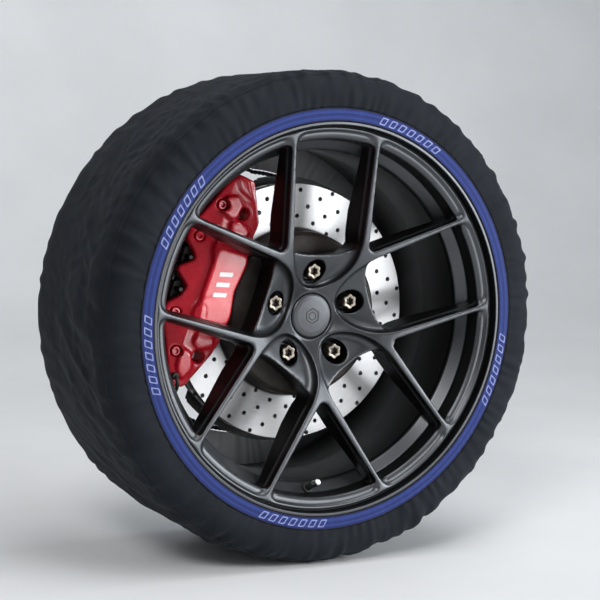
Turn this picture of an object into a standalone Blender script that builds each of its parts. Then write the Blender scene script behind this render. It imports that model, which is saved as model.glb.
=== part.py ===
"""Car front wheel wearing a textile snow sock, with its hub, brake and steering knuckle.

The wheel stands upright on the row axis Y: its outboard face looks along -Y and +Z is up. Every piece is
drawn lying on its back in the frame of the empty "wheel_centre": X to the right, Y up the wheel's face and
Z outboard, so that an angle reads as it does to someone who looks at the wheel. Sizes are in millimetres.
"""
import math

import bmesh
import bpy
from mathutils import Vector

MM = 0.001
GAP = 0.3

# Rim 19 x 9J, and its tyre 265/30 R19
LIP_RADIUS = 258.8
LIP_HEIGHT = 131.0
BEAD_RADIUS = 241.3
FLANGE = 114.3
TYRE_RADIUS = 320.8
BARREL_RADIUS = 220.8

# Wheel centre: five bolts, five forked arms between them
STUD_CIRCLE = 60.0
MOUNT_FACE = 45.0
POCKET_DEPTH = 15.0
FACE = [(30.2, 66), (34, 67), (57, 83), (86, 100), (112, 108), (140, 111), (250.6, 121.8)]
BOLT_ANGLES = [90 + 72 * turn for turn in range(5)]
ARM_ANGLES = [54 + 72 * turn for turn in range(5)]
FORK_RADIUS = 95.5
FORK_ANGLE = math.radians(33.7)
SPOKE_HALF = 4.3
SPOKE_DRAFT = math.tan(math.radians(7))
WINDOW_RADIUS = 248.0
WEB_BACK = [(75, 45), (86, 46), (112, 63.5), (150, 67), (238.5, 91)]

# Valve: where its stem crosses the barrel, and its lean from the wheel's axis
VALVE_PLACE = (229, 86)
VALVE_ANGLE = -92.5
VALVE_LEAN = 25

# Hub, bearing and disc
HUB_FLANGE = 36.4
NOSE_RADIUS = 31.9
DISC_RADIUS = 175.0
DISC_FACE = 10.0
DISC_THICK = 32.0
DISC_MIDDLE = DISC_FACE - DISC_THICK / 2
BEARING_TOP = 16.0
BEARING_BOTTOM = -30.0
BALL_CIRCLE = 34.5
BALL_RADIUS = 4.0
BALLS = 9
SCREW_ANGLES = ARM_ANGLES[0], ARM_ANGLES[2]
SHIELD_CIRCLE = 70.0
SHIELD_ANGLES = [30, 150, 270]
SENSOR_PLACE = (75.5, 210)

# Caliper: X of its own frame points out through its middle, heights count from the disc's middle plane
CALIPER_ANGLE = 162.0
CALIPER_FRONT = 54.0
LINING = (16.6, 26.3)
PLATE = (26.6, 31.6)
PISTON = (31.9, 50.5)
BORE_END = 52.0
PISTON_SPOTS = [(137, -44), (137, 44)]
BRIDGE_BOLTS = [(181, -52), (181, 52), (166, -100), (166, 100)]
EAR_SPOTS = [(146, -118), (146, 118)]
BLEED_SPOTS = {1: (165, -68), -1: (169, -97)}
PIN_SPOTS = [(183.5, -22), (183.5, 22)]

RING_STEPS = 36
HUB_STEPS = 20
PIN_STEPS = 10

PARTS = "snow_sock_wheel"
CUTTERS = "cutters"


# ---------------------------------------------------------------- scene helpers

def clear_scene():
    for item in list(bpy.data.objects):
        bpy.data.objects.remove(item, do_unlink=True)
    for name in (PARTS, CUTTERS):
        bpy.context.scene.collection.children.link(bpy.data.collections.new(name))


def material(name, colour, roughness, metallic=0.0):
    made = bpy.data.materials.new(name)
    made.use_nodes = True
    shader = made.node_tree.nodes["Principled BSDF"]
    shader.inputs["Base Color"].default_value = (*colour, 1.0)
    shader.inputs["Roughness"].default_value = roughness
    shader.inputs["Metallic"].default_value = metallic
    return made


def empty(name, parent=None, spot=(0, 0, 0), turn=(0, 0, 0)):
    made = bpy.data.objects.new(name, None)
    bpy.data.collections[PARTS].objects.link(made)
    made.parent = parent
    made.location = Vector(spot) * MM
    made.rotation_euler = turn
    return made


def node(name, mesh, parent, finish=None):
    """Put a mesh in the scene: a part when it has a finish, otherwise a hidden cutter."""
    made = bpy.data.objects.new(name, mesh)
    made.parent = parent
    if finish is None:
        bpy.data.collections[CUTTERS].objects.link(made)
        made.hide_render = True
        made.display_type = "WIRE"
    else:
        bpy.data.collections[PARTS].objects.link(made)
        mesh.materials.append(finish)
    return made


def combine(target, others, operation):
    """Cut the others out of the target, or unite them with it."""
    group = bpy.data.collections.new(f"{target.name}_{operation.lower()}")
    bpy.data.collections[CUTTERS].children.link(group)
    for other in others:
        bpy.data.collections[CUTTERS].objects.unlink(other)
        group.objects.link(other)
    boolean = target.modifiers.new(operation.title(), "BOOLEAN")
    boolean.operation = operation
    boolean.operand_type = "COLLECTION"
    boolean.collection = group
    boolean.solver = "EXACT"


def carve(target, *cutters):
    combine(target, cutters, "DIFFERENCE")


def unite(target, *others):
    combine(target, others, "UNION")


# ---------------------------------------------------------------- outlines

def polar(radius, degrees):
    angle = math.radians(degrees)
    return radius * math.cos(angle), radius * math.sin(angle)


def arc(radius, start, end, steps):
    return [polar(radius, start + (end - start) * step / steps) for step in range(steps + 1)]


def rounded(corners, steps=2):
    """Outline through corners (x, y, radius), each rounded with an arc of its radius."""
    outline = []
    for index, (x, y, radius) in enumerate(corners):
        here = Vector((x, y))
        before = (Vector(corners[index - 1][:2]) - here).normalized()
        after = (Vector(corners[(index + 1) % len(corners)][:2]) - here).normalized()
        if radius == 0:
            outline.append((x, y))
            continue
        half = before.angle(after) / 2
        middle = here + (before + after).normalized() * (radius / math.sin(half))
        first = here + before * (radius / math.tan(half)) - middle
        last = here + after * (radius / math.tan(half)) - middle
        turn = first.angle_signed(last)
        for step in range(steps + 1):
            swing = -turn * step / steps
            outline.append((middle.x + first.x * math.cos(swing) - first.y * math.sin(swing),
                            middle.y + first.x * math.sin(swing) + first.y * math.cos(swing)))
    return outline


def rectangle(x0, y0, x1, y1):
    return [(x0, y0), (x1, y0), (x1, y1), (x0, y1)]


def area(outline):
    pairs = zip(outline, outline[1:] + outline[:1])
    return sum(x0 * y1 - x1 * y0 for (x0, y0), (x1, y1) in pairs) / 2


def normals(points, closed):
    """Unit normals on the left of the way along the points."""
    count = len(points)
    found = []
    for index in range(count):
        before = points[index - 1] if closed or index else points[index]
        after = points[(index + 1) % count] if closed or index < count - 1 else points[index]
        way = (Vector(after) - Vector(before)).normalized()
        found.append(Vector((-way.y, way.x)))
    return found


def skin(guide, low, high):
    """Closed profile of a sheet that lies on the left of a guide line, from low to high above it."""
    sides = normals(guide, closed=False)
    outer = [tuple(Vector(point) + side * high) for point, side in zip(guide, sides)]
    inner = [tuple(Vector(point) + side * low) for point, side in zip(guide, sides)]
    return outer + inner[::-1]


# ---------------------------------------------------------------- solids

def turned(name, profile, parent, finish=None, steps=RING_STEPS):
    """Turn a profile of (radius, height) points about the frame's Z axis."""
    if area(profile) > 0:
        profile = profile[::-1]
    closed = min(radius for radius, _ in profile) > 0
    if not closed:
        first = next(i for i, point in enumerate(profile) if point[0] == 0 and profile[i - 1][0] == 0)
        profile = profile[first:] + profile[:first]
    shape = bmesh.new()
    points = [shape.verts.new((radius * MM, 0, height * MM)) for radius, height in profile]
    for start, end in zip(points, points[1:] + points[:1] if closed else points[1:]):
        shape.edges.new((start, end))
    mesh = bpy.data.meshes.new(name)
    shape.to_mesh(mesh)
    shape.free()
    made = node(name, mesh, parent, finish)
    screw = made.modifiers.new("Screw", "SCREW")
    screw.axis = "Z"
    screw.angle = math.tau
    screw.steps = steps
    screw.render_steps = steps
    screw.use_merge_vertices = True
    screw.merge_threshold = 0.00001
    return made


def prism(name, outline, low, high, parent, finish=None):
    """Extrude a flat outline from one height to another."""
    shape = bmesh.new()
    face = shape.faces.new([shape.verts.new((x * MM, y * MM, low * MM)) for x, y in outline])
    raised = bmesh.ops.extrude_face_region(shape, geom=[face])["geom"]
    moved = [item for item in raised if isinstance(item, bmesh.types.BMVert)]
    bmesh.ops.translate(shape, verts=moved, vec=(0, 0, (high - low) * MM))
    bmesh.ops.recalc_face_normals(shape, faces=shape.faces)
    mesh = bpy.data.meshes.new(name)
    shape.to_mesh(mesh)
    shape.free()
    return node(name, mesh, parent, finish)


def block(name, low, high, parent, finish=None):
    return prism(name, rectangle(low[0], low[1], high[0], high[1]), low[2], high[2], parent, finish)


def clear(radius, steps=PIN_STEPS):
    """Radius of a faceted hole whose flats leave a gap round a pin of this radius."""
    return (radius + GAP) / math.cos(math.pi / steps)


def peg(name, spot, radius, low, high, parent, finish=None, steps=PIN_STEPS):
    """Cylinder along Z that stands at a spot of the frame."""
    shape = bmesh.new()
    bmesh.ops.create_cone(shape, cap_ends=True, segments=steps, radius1=radius * MM,
                          radius2=radius * MM, depth=(high - low) * MM)
    mesh = bpy.data.meshes.new(name)
    shape.to_mesh(mesh)
    shape.free()
    made = node(name, mesh, parent, finish)
    made.location = (spot[0] * MM, spot[1] * MM, (low + high) / 2 * MM)
    return made


def loft(name, rings, parent):
    """Closed cutter through rings of points that match one to one, with flat first and last rings."""
    shape = bmesh.new()
    rows = [[shape.verts.new(Vector(point) * MM) for point in ring] for ring in rings]
    for low, high in zip(rows, rows[1:]):
        for i in range(len(low)):
            j = (i + 1) % len(low)
            shape.faces.new((low[i], low[j], high[j], high[i]))
    shape.faces.new(rows[0][::-1])
    shape.faces.new(rows[-1])
    bmesh.ops.remove_doubles(shape, verts=shape.verts, dist=0.00001)
    bmesh.ops.triangulate(shape, faces=[face for face in shape.faces if len(face.verts) == 4])
    bmesh.ops.recalc_face_normals(shape, faces=shape.faces)
    mesh = bpy.data.meshes.new(name)
    shape.to_mesh(mesh)
    shape.free()
    return node(name, mesh, parent)


def tube(name, points, radius, parent, finish):
    curve = bpy.data.curves.new(name, "CURVE")
    curve.dimensions = "3D"
    curve.bevel_depth = radius * MM
    curve.bevel_resolution = 2
    curve.use_fill_caps = True
    spline = curve.splines.new("POLY")
    spline.points.add(len(points) - 1)
    for spot, point in zip(spline.points, points):
        spot.co = (*(Vector(point) * MM), 1.0)
    made = bpy.data.objects.new(name, curve)
    bpy.data.collections[PARTS].objects.link(made)
    made.parent = parent
    curve.materials.append(finish)
    return made


# ---------------------------------------------------------------- tyre and sock

# Outside of the tyre from the outboard flange over the tread to the inboard flange
SIDEWALL = [(263, 123.5), (272, 128), (294, 129.5), (307, 125), (316.5, 113.5), (TYRE_RADIUS, 96)]
CAVITY = [(255, 106), (280, 118), (300, 115), (308.5, 98)]
HEM_RADIUS = 186.3
HEM_HEIGHT = -133.2
HEM_CORD = 3.0


def mirrored(points):
    return [(radius, -height) for radius, height in reversed(points)]


def make_tyre(frame, rubber):
    bead = [(BEAD_RADIUS + 0.5, 100), (BEAD_RADIUS + 0.5, FLANGE - 0.5), (252.5, FLANGE - 0.5),
            (259.8, 118.5)]
    outside = bead + SIDEWALL
    inside = mirrored(CAVITY[::-1]) + CAVITY[::-1]
    turned("tyre", outside + mirrored(outside) + inside, frame, rubber)


def make_sock(frame, finishes):
    """Textile sock in its sewn panels: tread, two sides, the rim's elastic band and the inner hem."""
    side = [(276.8, 128.4)] + SIDEWALL[2:5]
    tread = [(317.3, 110.3), (TYRE_RADIUS, 96), (TYRE_RADIUS, -96), (317.3, -110.3)]
    inner = mirrored(side[1:]) + [(265, -128.8), (225, -130.5), (190.5, -132.5)]
    turned("sock_outer_side", skin(side, 0.6, 3.0), frame, finishes["fabric"])
    turned("sock_tread_band", skin(tread, 0.6, 4.4), frame, finishes["fabric"])
    turned("sock_inner_side", skin(inner, 0.6, 2.8), frame, finishes["fabric"])
    band = [(259.4, 129.3), (259.4, 131.9), (276.3, 131.0), (276.3, 128.9)]
    turned("sock_outer_band", band, frame, finishes["band"])
    hem = [(HEM_RADIUS + x, HEM_HEIGHT + y) for x, y in arc(HEM_CORD, 0, 300, 5)]
    turned("sock_inner_elastic", hem, frame, finishes["elastic"], HUB_STEPS)


# ---------------------------------------------------------------- wheel

def height_on(line, radius):
    """Height at a radius of a profile line, by straight lines between its points."""
    for (r0, h0), (r1, h1) in zip(line, line[1:]):
        if radius <= r1:
            return h0 + (h1 - h0) * max(0.0, radius - r0) / (r1 - r0)
    return line[-1][1]


def face_height(radius):
    """Height of the arms' front: a steep cone round the cap that flattens towards the rim."""
    return height_on(FACE, radius)


def web_profile():
    edge = FACE[-1][0]
    front = [(27.5, 57), (27.5, 60), (30.2, 60)] + FACE + [(edge, 116.3), (238.5, 115)]
    return front + WEB_BACK[::-1] + [(NOSE_RADIUS + 0.4, MOUNT_FACE), (NOSE_RADIUS + 0.4, 57)]


def window_end(half, reach, power, steps=6):
    """Inner end of a wide window: a superellipse that meets its sides at radius 103."""
    points = []
    for step in range(steps + 1):
        angle = math.radians(90 + 180 * step / steps)
        across = math.copysign(abs(math.sin(angle)) ** (2 / power), math.sin(angle))
        points.append((103 - (103 - reach) * abs(math.cos(angle)) ** (2 / power), half * across))
    return points


def window_rim(left, right):
    """Outer end of a window between two spoke edges, each a point and a unit direction."""
    corners = []
    for point, way in (left, right):
        along = point.dot(way)
        reach = -along + math.sqrt(along ** 2 - point.length_squared + WINDOW_RADIUS ** 2)
        corners.append(point + way * reach)
    angles = [math.degrees(math.atan2(corner.y, corner.x)) for corner in corners]
    middle = arc(WINDOW_RADIUS, angles[0], angles[1], 3)[1:-1]
    return [(*corners[0], 12)] + [(x, y, 0) for x, y in middle] + [(*corners[1], 12)]


def fork_window():
    """Window between the two spokes of one arm, with the arm along X."""
    way = Vector((math.cos(FORK_ANGLE), math.sin(FORK_ANGLE)))
    edge = Vector((FORK_RADIUS, 0)) + SPOKE_HALF * Vector((way.y, -way.x))
    flip = Vector((1, -1))
    rim = window_rim((edge * flip, way * flip), (edge, way))
    apex = FORK_RADIUS + SPOKE_HALF / math.sin(FORK_ANGLE)
    return rounded(rim + [(apex, 0, 9)])


def wide_window(reach, power):
    """Window between two neighbouring arms, with the bolt between them along X."""
    lean = math.radians(36) - FORK_ANGLE
    way = Vector((math.cos(lean), math.sin(lean)))
    edge = Vector(polar(FORK_RADIUS, 36)) + SPOKE_HALF * Vector((way.y, -way.x))
    flip = Vector((1, -1))
    half = edge.y + (103 - edge.x) * math.tan(lean)
    rim = window_rim((edge * flip, way * flip), (edge, way))
    sides = [(103, half, 0), (103, -half, 0)]
    outer = rounded(rim + sides)[:-2]
    return outer + window_end(half, reach, power)


def ring_at(outline, height_of):
    """Ring of a window cutter: its outline drawn in by the draft below the arms' front."""
    ring = []
    for (x, y), side in zip(outline, normals(outline, closed=True)):
        radius = math.hypot(x, y)
        height = height_of(radius)
        inward = (face_height(radius) - height) * SPOKE_DRAFT
        ring.append((x + side.x * inward, y + side.y * inward, height))
    return ring


def flattened(ring, height):
    return [(x, y, height) for x, y, _ in ring]


def fork_cutter(name, frame):
    outline = fork_window()
    front = ring_at(outline, face_height)
    back = ring_at(outline, lambda radius: height_on(WEB_BACK, radius) - 1)
    return loft(name, [flattened(front, 150), front, back, flattened(back, 20)], frame)


def wide_cutter(name, frame):
    pocket = wide_window(37, 2.0)
    through = wide_window(83, 2.8)
    front = ring_at(pocket, face_height)
    floor = ring_at(pocket, lambda radius: face_height(radius) - POCKET_DEPTH)
    edge = ring_at(through, lambda radius: face_height(radius) - POCKET_DEPTH)
    return loft(name, [flattened(front, 150), front, floor, edge, flattened(edge, 20)], frame)


def make_wheel(frame, alloy):
    """One forging: barrel and lips, hub pad and five arms that each fork into two spokes."""
    lip = [(LIP_RADIUS, LIP_HEIGHT), (254.5, LIP_HEIGHT), (253.6, 117.7), (247.5, 117), (241, 116.4),
           (236.4, 112.6), (235.3, 91), (222.5, 80.6), (BARREL_RADIUS, 76)]
    inboard = [(BARREL_RADIUS, 0), (231, -100), (238, -119), (252, -119.5), (LIP_RADIUS, -125.5),
               (257, -117.5), (252, -FLANGE), (BEAD_RADIUS, -FLANGE), (BEAD_RADIUS, -98), (235, -84)]
    well = [(227.5, 0), (227.5, 71), (BEAD_RADIUS, 92), (BEAD_RADIUS, FLANGE), (252, FLANGE), (257, 117.5)]
    wheel = turned("wheel", lip + inboard + well, frame, alloy)
    web = turned("wheel_web", web_profile(), frame)
    cutters = []
    for arm, bolt in zip(ARM_ANGLES, BOLT_ANGLES):
        fork = fork_cutter(f"fork_window_{arm}", frame)
        fork.rotation_euler.z = math.radians(arm)
        wide = wide_cutter(f"wide_window_{bolt}", frame)
        wide.rotation_euler.z = math.radians(bolt)
        hole = turned(f"nut_seat_{bolt}", [(0, 120), (16, 120), (16, 50), (7.6, 50), (7.6, 38), (0, 38)],
                      frame, steps=16)
        hole.location = Vector((*polar(STUD_CIRCLE, bolt), 0)) * MM
        cutters += [fork, wide, hole]
    carve(web, *cutters)
    unite(wheel, web)
    valve_hole = peg("valve_hole", (0, 0), 5.8, -20, 10, VALVE)
    carve(wheel, valve_hole)


def make_cap(frame, plastic):
    profile = [(0, 68.8), (20, 68.6), (28, 67.6), (29.8, 66), (29.8, 60 + GAP), (27, 60 + GAP), (27, 57.4),
               (25, 57.4), (25, 62), (0, 62)]
    turned("centre_cap", profile, frame, plastic, HUB_STEPS)


def make_valve(rubber, brass, chrome):
    """Valve in its own frame: Z along the stem, out of the barrel."""
    stem = [(1.9, 29), (3.2, 29), (3.2, 20), (4.4, 18), (5, 4), (7, 3.4), (7, 2.3), (5.2, 2.3), (5.2, -12.6),
            (6.5, -12.8), (6.5, -15.6), (1.9, -15.6)]
    turned("valve_stem", stem, VALVE, rubber, PIN_STEPS)
    pin = [(0, 28.6), (1, 28.6), (1, 14), (1.5, 13.6), (1.5, -11), (0, -11)]
    turned("valve_core_pin", pin, VALVE, brass, PIN_STEPS)
    cap = [(0, 32), (3.6, 32), (4.4, 31), (4.6, 20.6), (3.6, 20.6), (3.6, 29.6), (0, 29.6)]
    turned("valve_cap", cap, VALVE, chrome, PIN_STEPS)


def make_fasteners(frame, steel, black):
    for number, bolt in enumerate(BOLT_ANGLES, start=1):
        x, y = polar(STUD_CIRCLE, bolt)
        stud = turned(f"wheel_stud_{number}", [(0, 62), (6, 62), (7, 61), (7, 23.6), (9.5, 23.6), (9.5, 20),
                                               (0, 20)], frame, steel, PIN_STEPS)
        nut = turned(f"lug_nut_{number}", [(7.4, 66), (8, 70), (10, 70), (11, 68.5), (11, 56), (9.4, 50.4),
                                           (7.4, 50.4)], frame, black, PIN_STEPS)
        for piece in (stud, nut):
            piece.location = Vector((x, y, 0)) * MM


# ---------------------------------------------------------------- hub and bearing

def make_hub(frame, finishes):
    profile = [(24.5, 56), (30.5, 56), (NOSE_RADIUS, 54), (NOSE_RADIUS, HUB_FLANGE), (71, HUB_FLANGE),
               (72, 35.4), (72, 25), (71, 24), (42, 24), (30, 19), (30, BEARING_TOP + 0.4),
               (24.5, BEARING_TOP + 0.4), (24.5, BEARING_BOTTOM), (13.2, BEARING_BOTTOM), (13.2, 36.2),
               (24.5, 36.2)]
    hub = turned("hub", profile, frame, finishes["steel"], HUB_STEPS)
    holes = []
    for bolt in BOLT_ANGLES:
        holes.append(peg(f"hub_hole_{bolt}", polar(STUD_CIRCLE, bolt), clear(7), 22, 40, frame))
    for arm in SCREW_ANGLES:
        holes.append(peg(f"hub_tapping_{arm}", polar(STUD_CIRCLE, arm), clear(3.5), 27, 40, frame))
    carve(hub, *holes)
    stub = [(0, 57), (9, 57), (10.2, 56), (10.2, 35.8), (12.8, 35.4), (12.8, BEARING_BOTTOM - 0.4),
            (28, BEARING_BOTTOM - 0.4), (28, -40), (43, -52), (45, -56), (45, -94), (42, -97), (0, -97)]
    turned("axle_stub", stub, frame, finishes["steel"], HUB_STEPS)
    nut = [(11, 52), (19, 52), (20.8, 50.5), (20.8, 40), (23.4, 39.4), (23.4, 36.5), (11, 36.5)]
    turned("axle_nut", nut, frame, finishes["zinc"], 12)


def make_bearing(frame, finishes):
    outer = [(39.5, BEARING_TOP), (44, BEARING_TOP), (44, BEARING_BOTTOM), (39.5, BEARING_BOTTOM)]
    inner = [(24.8, BEARING_TOP), (30.2, BEARING_TOP), (30.2, BEARING_BOTTOM), (24.8, BEARING_BOTTOM)]
    turned("bearing_outer_race", outer, frame, finishes["bright"], HUB_STEPS)
    turned("bearing_inner_race", inner, frame, finishes["bright"], HUB_STEPS)
    middle = (BEARING_TOP + BEARING_BOTTOM) / 2
    ring = [(33.3, middle + 5.5), (35.7, middle + 5.5), (35.7, middle - 5.5), (33.3, middle - 5.5)]
    cage = turned("bearing_cage", ring, frame, finishes["brass"], HUB_STEPS)
    balls = []
    for number in range(BALLS):
        shape = bmesh.new()
        bmesh.ops.create_uvsphere(shape, u_segments=6, v_segments=4, radius=BALL_RADIUS * MM)
        mesh = bpy.data.meshes.new(f"ball_{number}")
        shape.to_mesh(mesh)
        shape.free()
        ball = node(f"ball_{number}", mesh, frame)
        ball.location = Vector((*polar(BALL_CIRCLE, 360 * (number + 0.37) / BALLS), middle)) * MM
        balls.append(ball)
    unite(cage, *balls)


# ---------------------------------------------------------------- disc

def make_disc(frame, finishes):
    """Vented disc: two rings joined by vanes, with the hat that sits on the hub flange."""
    top = DISC_FACE
    low = DISC_FACE - DISC_THICK
    profile = [(32.6, 44.7), (106, 44.7), (111, 40), (113.5, top + 1), (116, top), (174, top),
               (DISC_RADIUS, top - 1), (DISC_RADIUS, low + 1), (174, low), (116, low), (105.5, -2),
               (105.5, 34), (103, HUB_FLANGE + GAP), (32.6, HUB_FLANGE + GAP)]
    disc = turned("brake_disc", profile, frame, finishes["disc"])
    cutters = []
    for number in range(RING_STEPS // 2):
        corners = [polar(109, -5.6), polar(180, -7.4), polar(180, 7.4), polar(109, 5.6)]
        slot = prism(f"vent_{number}", corners, DISC_MIDDLE - 7, DISC_MIDDLE + 7, frame)
        slot.rotation_euler.z = math.tau * (number + 0.5) / (RING_STEPS // 2)
        cutters.append(slot)
    for bolt in BOLT_ANGLES:
        cutters.append(peg(f"disc_hole_{bolt}", polar(STUD_CIRCLE, bolt), clear(7.5), 30, 50, frame))
    for arm in SCREW_ANGLES:
        sunk = turned(f"disc_sink_{arm}", [(0, 50), (6.5, 50), (6.5, 41), (4.1, 41), (4.1, 30), (0, 30)],
                      frame, steps=PIN_STEPS)
        sunk.location = Vector((*polar(STUD_CIRCLE, arm), 0)) * MM
        cutters.append(sunk)
    carve(disc, *cutters)
    for number, arm in enumerate(SCREW_ANGLES, start=1):
        screw = turned(f"disc_screw_{number}", [(0, 44.6), (6, 44.6), (6, 41.4), (3.5, 41.4), (3.5, 28),
                                                (0, 28)], frame, finishes["zinc"], PIN_STEPS)
        screw.location = Vector((*polar(STUD_CIRCLE, arm), 0)) * MM


# ---------------------------------------------------------------- knuckle and shield

def make_knuckle(frame, caliper, finishes):
    """Steering knuckle: bearing housing, caliper ears, strut ear, ball joint boss and steering arm."""
    housing = [(44.4, 15), (57, 15), (60, 12), (60, -28), (62, -30), (84, -30), (84, -38), (66, -38),
               (66, -87), (52, -87), (50, -40), (41, -36), (41, BEARING_BOTTOM - 0.5),
               (44.4, BEARING_BOTTOM - 0.5)]
    knuckle = turned("knuckle", housing, frame, finishes["cast"], HUB_STEPS)
    bracket = rounded([(50, -34, 0), (124, -132, 8), (152, -132, 14), (164, -112, 14), (148, -98, 8),
                       (118, -92, 14), (92, -30, 14), (92, 30, 14), (118, 92, 14), (148, 98, 8),
                       (164, 112, 14), (152, 132, 14), (124, 132, 8), (50, 34, 0)])
    fork = prism("caliper_bracket", bracket, -88, -75, caliper)
    strut = block("strut_ear", (-13, 55, -116), (13, 172, -62), frame)
    boss = block("ball_boss", (-17, -122, -104), (17, -55, -66), frame)
    steering = block("steering_arm", (55, -13, -100), (132, 13, -76), frame)
    unite(knuckle, fork, strut, boss, steering)
    holes = [peg(f"ear_hole_{i}", spot, clear(6), -92, -70, caliper) for i, spot in enumerate(EAR_SPOTS)]
    for angle in SHIELD_ANGLES:
        holes.append(peg(f"shield_tapping_{angle}", polar(SHIELD_CIRCLE, angle), clear(3), -40, -25, frame))
    holes.append(peg("sensor_hole", polar(*SENSOR_PLACE), clear(5), -45, -25, frame))
    carve(knuckle, *holes)
    shield = turned("dust_shield", [(64, -29.6), (184, -29.6), (184, -28.2), (64, -28.2)], frame,
                    finishes["zinc"])
    room = block("caliper_room", (98, -190, -40), (200, 190, -20), caliper)
    holes = [peg(f"shield_hole_{angle}", polar(SHIELD_CIRCLE, angle), clear(3), -32, -26, frame)
             for angle in SHIELD_ANGLES]
    carve(shield, room, *holes)
    for number, angle in enumerate(SHIELD_ANGLES, start=1):
        bolt = turned(f"shield_bolt_{number}", [(0, -24.4), (5, -24.4), (5, -27.8), (3, -27.8), (3, -37),
                                                (0, -37)], frame, finishes["zinc"], PIN_STEPS)
        bolt.location = Vector((*polar(SHIELD_CIRCLE, angle), 0)) * MM
    sensor = turned("speed_sensor", [(0, -31), (5, -31), (5, -38.4), (8, -38.4), (8, -54), (5, -56),
                                     (0, -56)], frame, finishes["plastic"], PIN_STEPS)
    sensor.location = Vector((*polar(*SENSOR_PLACE), 0)) * MM


# ---------------------------------------------------------------- caliper

def span(side, near, far):
    """Heights of a stretch from near to far of the disc's middle plane, on one side of it."""
    first = DISC_MIDDLE + side * near
    last = DISC_MIDDLE + side * far
    return min(first, last), max(first, last)


def both_ways(half):
    """Corners of a symmetric outline from those of its negative half, in order."""
    return half + [(x, -y, radius) for x, y, radius in reversed(half)]


def caliper_half(name, side, frame, paint):
    """One half of the fixed caliper: body, piston bores, pad pocket, window and bridge columns."""
    body = both_ways([(190, -20, 0), (199, -44, 8), (199, -60, 8), (186, -84, 8), (168, -128, 10),
                      (157, -146, 7), (140, -142, 8), (115, -88, 12), (107, -68, 10), (107, -26, 8),
                      (116, -8, 5)])
    half = prism(name, rounded(body), *span(side, 0.15, CALIPER_FRONT), frame, paint)
    extras = []
    for number, spot in enumerate(PISTON_SPOTS):
        heights = span(side, CALIPER_FRONT - 4, 62)
        extras.append(peg(f"{name}_boss_{number}", spot, 25, *heights, frame, None, 16))
    if side > 0:
        label = rounded([(157, -46, 6), (157, 56, 6), (114, 50, 6), (114, -48, 6)])
        extras.append(prism(f"{name}_pad", label, *span(side, CALIPER_FRONT - 4, 65.5), frame))
    else:
        for number, spot in enumerate(EAR_SPOTS):
            extras.append(peg(f"{name}_ear_{number}", spot, 14, *span(side, CALIPER_FRONT - 4, 68.6), frame))
    unite(half, *extras)
    cutters = [
        peg(f"{name}_disc_room", (0, 0), 179.5, *span(side, -2, 19.3), frame.parent, None, 64),
        block(f"{name}_pocket", *corner_pair((90, -66, 14), (181, 66, 33.3), side), frame),
        block(f"{name}_window", *corner_pair((170, -40, -2), (215, 40, 33.3), side), frame)]
    for number, spot in enumerate(PISTON_SPOTS):
        cutters.append(peg(f"{name}_bore_{number}", spot, 20.4, *span(side, 25, BORE_END), frame, None, 20))
    for number, spot in enumerate(PIN_SPOTS):
        cutters.append(peg(f"{name}_pin_hole_{number}", spot, clear(3), *span(side, 20, 60), frame))
    depth = 70 if side > 0 else 42
    for number, spot in enumerate(BRIDGE_BOLTS):
        cutters.append(peg(f"{name}_bridge_{number}", spot, clear(5), *span(side, -2, depth), frame))
    for number, across in enumerate((-96, 96)):
        cutters.append(peg(f"{name}_eye_{number}", (133, across), 9, *span(side, 15, 80), frame))
    if side > 0:
        cutters.append(peg(f"{name}_hat_room", (0, 0), 117.5, -10, 46.5, frame.parent, None, 64))
    else:
        for number, spot in enumerate(EAR_SPOTS):
            cutters.append(peg(f"{name}_tapping_{number}", spot, clear(6), *span(side, 22, 80), frame))
    carve(half, *cutters)
    return half


def corner_pair(low, high, side):
    """Corners of a block whose heights count from the disc's middle plane."""
    bottom, top = span(side, low[2], high[2])
    return (low[0], low[1], bottom), (high[0], high[1], top)


def pad_outline(inner, outer, half_angle, tabs):
    """Sector of a pad; its backing plate has two tabs that hang on the pad pins."""
    outline = arc(inner, -half_angle, half_angle, 6) + arc(outer, half_angle, -half_angle, 6)
    if tabs:
        inner_arc = arc(inner, -half_angle, half_angle, 6)
        top = arc(outer, half_angle, 13, 2) + [(189, 34), (189, 14)] + [polar(outer, 2), polar(outer, -2)]
        outline = inner_arc + top + [(189, -14), (189, -34)] + arc(outer, -13, -half_angle, 2)
    return outline


def make_pads(frame, finishes):
    for label, side in (("outer", 1), ("inner", -1)):
        prism(f"{label}_pad_lining", pad_outline(120, 171, 20, tabs=False), *span(side, *LINING), frame,
              finishes["lining"])
        plate = prism(f"{label}_pad_plate", pad_outline(118, 173, 21, tabs=True), *span(side, *PLATE), frame,
                      finishes["cast"])
        holes = [peg(f"{label}_plate_hole_{i}", spot, clear(3), *span(side, 20, 40), frame)
                 for i, spot in enumerate(PIN_SPOTS)]
        carve(plate, *holes)


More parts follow.
